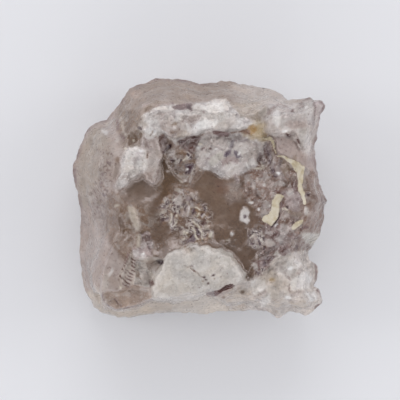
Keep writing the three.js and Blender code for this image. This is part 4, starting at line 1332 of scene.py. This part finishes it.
def store_character(stone, plan):
    """Keeps each vertex's colour and surface character for the material to read."""
    mesh = stone.data
    places = vertex_values(mesh, "co") / MM
    x, y, z = places.T
    upward = vertex_values(mesh, "normal")[:, 2]
    within = inside_distance(x, y, OUTLINE)
    side = side_share(places, upward)

    tint = read_plan(plan["tint"], x, y)
    tint += (albedo("violet") - tint) * border_shade(x, y, within, upward)[:, None]
    tint += SIDE_COLOUR * (albedo("side") - tint) * side[:, None]
    smooth_skin = 1 - read_plan(plan["chips"], x, y) * (1 - side)
    streaks = STREAKS - STREAKS_LESS * smoothstep(x, *STREAKS_FADE_X)
    tint *= (1 + streaks * streaked(x, y, z, within) * smooth_skin)[:, None]
    colour = np.ones((len(x), 4))
    colour[:, :3] = tint
    layer = mesh.color_attributes.new("tint", "FLOAT_COLOR", "POINT")
    layer.data.foreach_set("color", colour.ravel())

    # The sides go from satin to frosted; facet and grit are in the mesh already
    rough = rough_patches(places)
    for key, skin, broken in zip(CHARACTER[2:], KINDS["satin"][2:], KINDS["frost"][2:]):
        value = read_plan(plan[key], x, y)
        layer = mesh.attributes.new(key, "FLOAT", "POINT")
        layer.data.foreach_set("value", value + (skin + (broken - skin) * rough - value) * side)


# ---- shader nodes ----

# Between these most of Blender's noise lies
NOISE_RANGE = (0.3, 0.7)
GRAIN_DEPTH = 0.02


def new_material(name):
    """A material, its node tree and its shader."""
    material = bpy.data.materials.new(name)
    material.use_nodes = True
    tree = material.node_tree
    return material, tree, tree.nodes["Principled BSDF"]


def node(tree, kind, **settings):
    """A new node with its properties set."""
    made = tree.nodes.new(kind)
    for key, value in settings.items():
        setattr(made, key, value)
    return made


def plug(tree, value, socket):
    """Gives an input a number or colour, or links it to an output. None leaves it as it is."""
    if isinstance(value, bpy.types.NodeSocket):
        tree.links.new(value, socket)
    elif value is not None:
        socket.default_value = value


def plug_all(tree, made, values):
    """Fills a node's inputs from a dictionary of names and values."""
    for name, value in values.items():
        plug(tree, value, made.inputs[name])


def scaled_places(tree, size):
    """Object coordinates, measured in steps of size millimetres."""
    scale = node(tree, "ShaderNodeMapping")
    places = node(tree, "ShaderNodeTexCoord").outputs["Object"]
    plug_all(tree, scale, {"Vector": places, "Scale": [1 / (size * MM)] * 3})
    return scale.outputs["Vector"]


def noise_node(tree, places, scale, detail, distortion=0.0):
    """Blender's own noise at the given places."""
    noise = node(tree, "ShaderNodeTexNoise")
    plug_all(tree, noise, {"Vector": places, "Scale": scale, "Detail": detail,
                           "Distortion": distortion})
    return noise.outputs


def noise_value(tree, size, detail=2.0, distortion=0.0):
    """Noise from 0 to 1 with bumps about size millimetres apart."""
    return noise_node(tree, scaled_places(tree, size), 1.0, detail, distortion)["Fac"]


def attribute(tree, name, output="Fac"):
    """A value that store_character kept on the mesh."""
    return node(tree, "ShaderNodeAttribute", attribute_name=name).outputs[output]


def ramp(tree, value, stops):
    """A colour ramp: stops are (position, (red, green, blue)) with colours in linear light."""
    made = node(tree, "ShaderNodeValToRGB")
    elements = made.color_ramp.elements
    while len(elements) < len(stops):
        elements.new(0.5)
    for element, (position, colour) in zip(elements, stops):
        element.position = position
        element.color = (*colour, 1)
    plug(tree, value, made.inputs["Fac"])
    return made.outputs["Color"]


def calculate(tree, operation, *values):
    """A sum on numbers, each of which is a socket or a value."""
    made = node(tree, "ShaderNodeMath", operation=operation)
    for value, socket in zip(values, made.inputs):
        plug(tree, value, socket)
    return made.outputs["Value"]


def remap(tree, value, low, high, to_low, to_high, **settings):
    """Turns the range from low to high into that from to_low to to_high, and stops there."""
    made = node(tree, "ShaderNodeMapRange", **settings)
    plug_all(tree, made, {"Value": value, "From Min": low, "From Max": high,
                          "To Min": to_low, "To Max": to_high})
    return made.outputs["Result"]


def noise_between(tree, low, high, size, detail, distortion=0.0):
    """Noise that is stretched so that it goes from low to high."""
    value = noise_value(tree, size, detail, distortion)
    return remap(tree, value, *NOISE_RANGE, low, high)


def mask(tree, value, low, high, strength):
    """Rises from 0 to 1 as value goes from low to high, and is then multiplied by strength."""
    return calculate(tree, "MULTIPLY", remap(tree, value, low, high, 0.0, 1.0), strength)


def blend(tree, share, first, second, kind="MIX"):
    """Mixes two colours; share, first and second are sockets or values."""
    made = node(tree, "ShaderNodeMix", data_type="RGBA", blend_type=kind)
    # Where a mix node that is set to colours has its factor, A and B
    for value, index in ((share, 0), (first, 6), (second, 7)):
        plug(tree, value, made.inputs[index])
    return made.outputs[2]


def multiply(tree, first, second):
    """Multiplies two colours."""
    return blend(tree, 1.0, first, second, "MULTIPLY")


def vector_math(tree, operation, first, second=None, share=None):
    """A sum on vectors; share is the factor when the operation is SCALE."""
    made = node(tree, "ShaderNodeVectorMath", operation=operation)
    for value, socket in ((first, 0), (second, 1), (share, "Scale")):
        if value is not None:
            plug(tree, value, made.inputs[socket])
    return made.outputs["Vector"]


def broken_cells(tree, places, size, distance="EUCLIDEAN"):
    """Colour of the small cell that each place is in, cells being about size millimetres."""
    cells = node(tree, "ShaderNodeTexVoronoi", distance=distance)
    plug_all(tree, cells, {"Vector": places, "Scale": 1.0 / size})
    return cells.outputs["Color"]


def red_of(tree, colour):
    """The red channel of a colour."""
    split = node(tree, "ShaderNodeSeparateColor")
    plug(tree, colour, split.inputs["Color"])
    return split.outputs["Red"]


def even_colour(tree, value):
    """A grey of the given brightness."""
    joined = node(tree, "ShaderNodeCombineColor")
    plug_all(tree, joined, {"Red": value, "Green": value, "Blue": value})
    return joined.outputs["Color"]


def grain_normal(tree, size, strength, normal=None):
    """A bump of fine grain over the given normal."""
    grain = node(tree, "ShaderNodeBump")
    plug_all(tree, grain, {"Strength": strength, "Distance": GRAIN_DEPTH * MM, "Normal": normal,
                           "Height": noise_value(tree, size, detail=3.0)})
    return grain.outputs["Normal"]


# ---- materials ----

DIAMOND_IOR = 2.42
# How much of the light passes into the glassiest parts, and how much of the roughness they lose
SEE_THROUGH = 0.5
POLISH = 0.6

# Cells of small broken faces: sizes, how far and how finely their borders drift, how much all
# of them lean and how much more on frosted skin, and the steps of painted light and shade between them
LARGE_CELL = 0.36
SMALL_CELL = 0.12
DRIFT = 0.42
DRIFT_SCALE = 2.6
LEAN = 0.03
LEAN_WITH_FROST = 0.30
LARGE_SHADING_STEP = 0.60
SMALL_SHADING_STEP = 0.30

# Colours in linear light
WHITE_PATCH = (0.66, 0.63, 0.61, 1)
# The colour of small painted glints in the frost
PAINTED_GLINT = (0.80, 0.77, 0.74, 1)
# What a colour is multiplied by: in the painted shadow patches, in the painted shade of small pits, and
# to make it warmer or cooler
IN_SHADOW = (0.58, 0.53, 0.55, 1)
IN_A_PIT = (0.56, 0.47, 0.46, 1)
WARMER = (1.02, 1.0, 0.965)
COOLER = (0.985, 1.0, 1.015)
# The sparkling pattern's, painted reflections: cream of the lights, near-black of the dark lens above
NEAR_BLACK = (0.05, 0.028, 0.036)
DARK_BROWN = (0.19, 0.13, 0.12)
GREYISH = (0.48, 0.43, 0.39)
CREAM = (0.57, 0.53, 0.48)
BROWN = (0.21, 0.155, 0.15)

# How dark and how bright the clouds and the mottling are, and how smooth and rough the skin
CLOUDS = (0.87, 1.13)
MOTTLING = (0.90, 1.10)
ROUGHNESS = (0.25, 0.45)

# From here on noise is given by its size, detail and distortion. First the ragged patches of the
# skin, some of them painted shadow, painted glints and painted reflections: their noise, and its
# values between which they begin.
PATCHES = {
    "shadow": ((0.34, 4.0, 0.8), (0.52, 0.62)),
    "white": ((0.40, 4.0, 0.5), (0.52, 0.60)),
    "painted_glints": ((0.055, 2.0, 0.0), (0.62, 0.70)),
    "sparkle": ((0.45, 3.0, 0.8), (0.42, 0.58)),
}
SHADOW_SHARE = 0.75
WHITE_SHARE = 0.55

# Small pits, darkened with painted shade: noise, how much it counts as higher where there are more
# of them, its values between which they begin, and how much of them shows
PIT_NOISE = (0.13, 2.0, 0.4)
PIT_LIFT = 0.16
PIT_EDGE = (0.70, 0.76)
PIT_SHARE = 0.9

# Noise, and which colours go with its values: warm and cool skin, and the sparkling pattern of
# painted reflections, from near-black over cream lines to near-black again
WARMTH_NOISE = (0.7, 3.0, 0.5)
WARMTH = [(0.35, WARMER), (0.65, COOLER)]
SPARKLE_NOISE = (0.34, 1.5, 1.8)
SPARKLE = [(0.37, NEAR_BLACK), (0.43, DARK_BROWN), (0.46, GREYISH), (0.51, CREAM),
           (0.55, BROWN), (0.62, NEAR_BLACK)]
OCHRE_NOISE = (0.25, 4.0)
OCHRE = [(0.35, (0.50, 0.42, 0.29)), (0.50, (0.60, 0.53, 0.41)), (0.65, (0.66, 0.60, 0.50))]


def crystal_cells(tree):
    """Colours of large and small cells with uneven, ragged borders."""
    straight = scaled_places(tree, 1.0)
    drift = noise_node(tree, straight, DRIFT_SCALE, detail=2.0)["Color"]
    offset = vector_math(tree, "SUBTRACT", drift, (0.5, 0.5, 0.5))
    offset = vector_math(tree, "SCALE", offset, share=DRIFT)
    bent = vector_math(tree, "ADD", straight, offset)
    large = broken_cells(tree, bent, LARGE_CELL, "MANHATTAN")
    return large, broken_cells(tree, bent, SMALL_CELL)


def leaning_normal(tree, large, small, frost):
    """The surface's normal, leaning its own way on each small broken face."""
    lean = vector_math(tree, "ADD", large, small)
    lean = vector_math(tree, "SUBTRACT", lean, (1.0, 1.0, 1.0))
    share = calculate(tree, "MULTIPLY_ADD", frost, LEAN_WITH_FROST, LEAN)
    lean = vector_math(tree, "SCALE", lean, share=share)
    normal = node(tree, "ShaderNodeNewGeometry").outputs["Normal"]
    return vector_math(tree, "NORMALIZE", vector_math(tree, "ADD", normal, lean))


def crystal_brightness(tree, large, small, chips):
    """Clouds, mottling, and a painted step of light and shade from each broken face to the next."""
    cloud = noise_between(tree, *CLOUDS, size=0.8, detail=5.0)
    mottle = noise_between(tree, *MOTTLING, size=0.10, detail=3.0, distortion=0.3)
    # Painted light and shade: each broken face a step lighter or darker than the next
    steps = calculate(tree, "MULTIPLY", red_of(tree, large), LARGE_SHADING_STEP)
    steps = calculate(tree, "MULTIPLY_ADD", red_of(tree, small), SMALL_SHADING_STEP, steps)
    steps = calculate(tree, "SUBTRACT", steps, (LARGE_SHADING_STEP + SMALL_SHADING_STEP) / 2)
    steps = calculate(tree, "MULTIPLY_ADD", steps, chips, 1.0)
    return calculate(tree, "MULTIPLY", calculate(tree, "MULTIPLY", cloud, mottle), steps)


def patches(tree, name, strength):
    """Where the ragged patches of this name are, multiplied by strength."""
    noise, edge = PATCHES[name]
    return mask(tree, noise_value(tree, *noise), *edge, strength)


def crystal_colour(tree, large, small, frost, chips):
    """The tint, with what the stone's skin adds to it and with painted shadow, shade of pits, glints and
    reflections.
    """
    shade = crystal_brightness(tree, large, small, chips)
    coloured = multiply(tree, attribute(tree, "tint", "Color"), even_colour(tree, shade))
    warmth = noise_value(tree, *WARMTH_NOISE)
    coloured = multiply(tree, coloured, ramp(tree, warmth, WARMTH))

    # Painted shadow patches, and white patches, with ragged borders where the stone is broken
    shadow = calculate(tree, "MULTIPLY", patches(tree, "shadow", chips), SHADOW_SHARE)
    coloured = blend(tree, shadow, coloured, multiply(tree, coloured, IN_SHADOW))
    white = calculate(tree, "MULTIPLY", patches(tree, "white", frost), WHITE_SHARE)
    coloured = blend(tree, white, coloured, WHITE_PATCH)
    # Small painted glints in the frost
    coloured = blend(tree, patches(tree, "painted_glints", frost), coloured, PAINTED_GLINT)

    # Painted shade of small pits, the more the higher the value kept on the mesh
    pits = attribute(tree, "pits")
    lifted = calculate(tree, "MULTIPLY_ADD", pits, PIT_LIFT, noise_value(tree, *PIT_NOISE))
    pit = mask(tree, lifted, *PIT_EDGE, PIT_SHARE)
    coloured = blend(tree, pit, coloured, multiply(tree, coloured, IN_A_PIT))

    # Painted reflections: cream lines between near-black spots, in the patches where the stone sparkles
    painted_reflections = ramp(tree, noise_value(tree, *SPARKLE_NOISE), SPARKLE)
    patch = patches(tree, "sparkle", attribute(tree, "sparkle"))
    return blend(tree, patch, coloured, painted_reflections)


def crystal_material():
    """Frosted skin with small tilted faces; smoky and glassy where the top is broken."""
    material, tree, shader = new_material("frosted_diamond")
    clear = attribute(tree, "clear")
    frost = attribute(tree, "frost")
    large, small = crystal_cells(tree)
    rough = noise_between(tree, *ROUGHNESS, size=0.2, detail=2.0)
    polish = calculate(tree, "MULTIPLY_ADD", clear, -POLISH, 1.0)
    plug_all(tree, shader, {
        "Base Color": crystal_colour(tree, large, small, frost, attribute(tree, "chips")),
        "Normal": grain_normal(tree, size=0.07, strength=0.4,
                               normal=leaning_normal(tree, large, small, frost)),
        "Roughness": calculate(tree, "MULTIPLY", rough, polish),
        "Transmission Weight": calculate(tree, "MULTIPLY", clear, SEE_THROUGH),
        "IOR": DIAMOND_IOR,
        "Specular IOR Level": 0.20,
        "Specular Tint": (1.0, 0.92, 0.92, 1),
    })
    return material


def ochre_material():
    """Dull, powdery ochre."""
    material, tree, shader = new_material("ochre_deposit")
    plug_all(tree, shader, {
        "Base Color": ramp(tree, noise_value(tree, *OCHRE_NOISE), OCHRE),
        "Normal": grain_normal(tree, size=0.06, strength=0.5),
        "Roughness": 0.9,
        "Specular IOR Level": 0.2,
    })
    return material


def floor_material():
    """Pale, matt and very slightly glowing, for an even background."""
    material, tree, shader = new_material("pale_floor")
    plug_all(tree, shader, {
        "Base Color": (0.70, 0.70, 0.727, 1),
        "Emission Color": (1.0, 1.0, 1.04, 1),
        "Emission Strength": 0.09,
        "Roughness": 0.9,
        "Specular IOR Level": 0.1,
    })
    return material


# ---- stage, lights and camera ----

# In millimetres; the view is square
VIEW_WIDTH = 16.0
CAMERA_HEIGHT = 404.0
FOCUS_HEIGHT = 4.0
VIEW_CENTRE_Y = -0.10
FLOOR_HALF = 300.0
SENSOR_WIDTH = 36.0

# Strength of the tent's light, and of its opening straight above; between these shares of
# looking up the one goes over into the other
TENT_STRENGTH = 1.12
OPENING_STRENGTH = 0.15
OPENING_EDGE = (0.55, 0.97)

# In metres and watts: name, place, width and depth, power. All of them aim at the stone.
LIGHTS = [
    ("back softbox", (0.0, 0.24, 0.24), (0.22, 0.14), 0.22),
    ("left softbox", (-0.24, 0.04, 0.20), (0.12, 0.16), 0.12),
    ("right softbox", (0.24, 0.06, 0.20), (0.12, 0.16), 0.10),
    ("front softbox", (0.0, -0.24, 0.20), (0.20, 0.12), 0.08),
]


def make_floor():
    """A square floor, far wider than the view."""
    corners = np.array([(-1, -1, 0), (1, -1, 0), (1, 1, 0), (-1, 1, 0)]) * FLOOR_HALF
    floor = mesh_object("floor", corners, np.array([[0, 1, 2, 3]]))
    floor.data.materials.append(floor_material())


def make_camera():
    """A long lens straight above the stone, which frames it as in the photograph."""
    data = bpy.data.cameras.new("camera")
    data.sensor_width = SENSOR_WIDTH
    data.lens = SENSOR_WIDTH * (CAMERA_HEIGHT - FOCUS_HEIGHT) / VIEW_WIDTH
    data.clip_start = 0.001
    data.clip_end = 10.0
    camera = bpy.data.objects.new("camera", data)
    camera.location = (0, VIEW_CENTRE_Y * MM, CAMERA_HEIGHT * MM)
    bpy.context.scene.collection.objects.link(camera)
    bpy.context.scene.camera = camera


def make_light(name, place, size, power):
    """A soft light aimed at the origin."""
    data = bpy.data.lights.new(name, "AREA")
    data.shape = "RECTANGLE"
    data.size, data.size_y = size
    data.energy = power
    light = bpy.data.objects.new(name, data)
    light.location = place
    light.rotation_euler = (-Vector(place)).to_track_quat("-Z", "Y").to_euler()
    light.visible_camera = False
    bpy.context.scene.collection.objects.link(light)


def make_world():
    """A pale tent round the stone, dark straight above, where the camera looks in."""
    world = bpy.data.worlds.new("studio")
    world.use_nodes = True
    tree = world.node_tree
    axes = node(tree, "ShaderNodeSeparateXYZ")
    plug(tree, node(tree, "ShaderNodeTexCoord").outputs["Generated"], axes.inputs["Vector"])
    tent = remap(tree, axes.outputs["Z"], *OPENING_EDGE, TENT_STRENGTH, OPENING_STRENGTH,
                 interpolation_type="SMOOTHSTEP")
    plug_all(tree, tree.nodes["Background"], {"Color": (0.97, 0.98, 1.0, 1), "Strength": tent})
    bpy.context.scene.world = world


def make_stage():
    """Floor, camera, world and lights."""
    make_floor()
    make_camera()
    make_world()
    for light in LIGHTS:
        make_light(*light)
    bpy.context.scene.view_settings.view_transform = "Standard"


def finish_looks(piece, material):
    """Gives a piece its material and smooth shading."""
    piece.data.materials.append(material)
    piece.data.shade_smooth()


plan = plan_of_top()
stone = make_stone(plan)
store_character(stone, plan)
finish_looks(stone, crystal_material())
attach(stone, "root")
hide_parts("rough_diamond")

ochre = ochre_material()
for crust in make_crusts(plan):
    finish_looks(crust, ochre)
    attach(crust, "root")
make_stage()
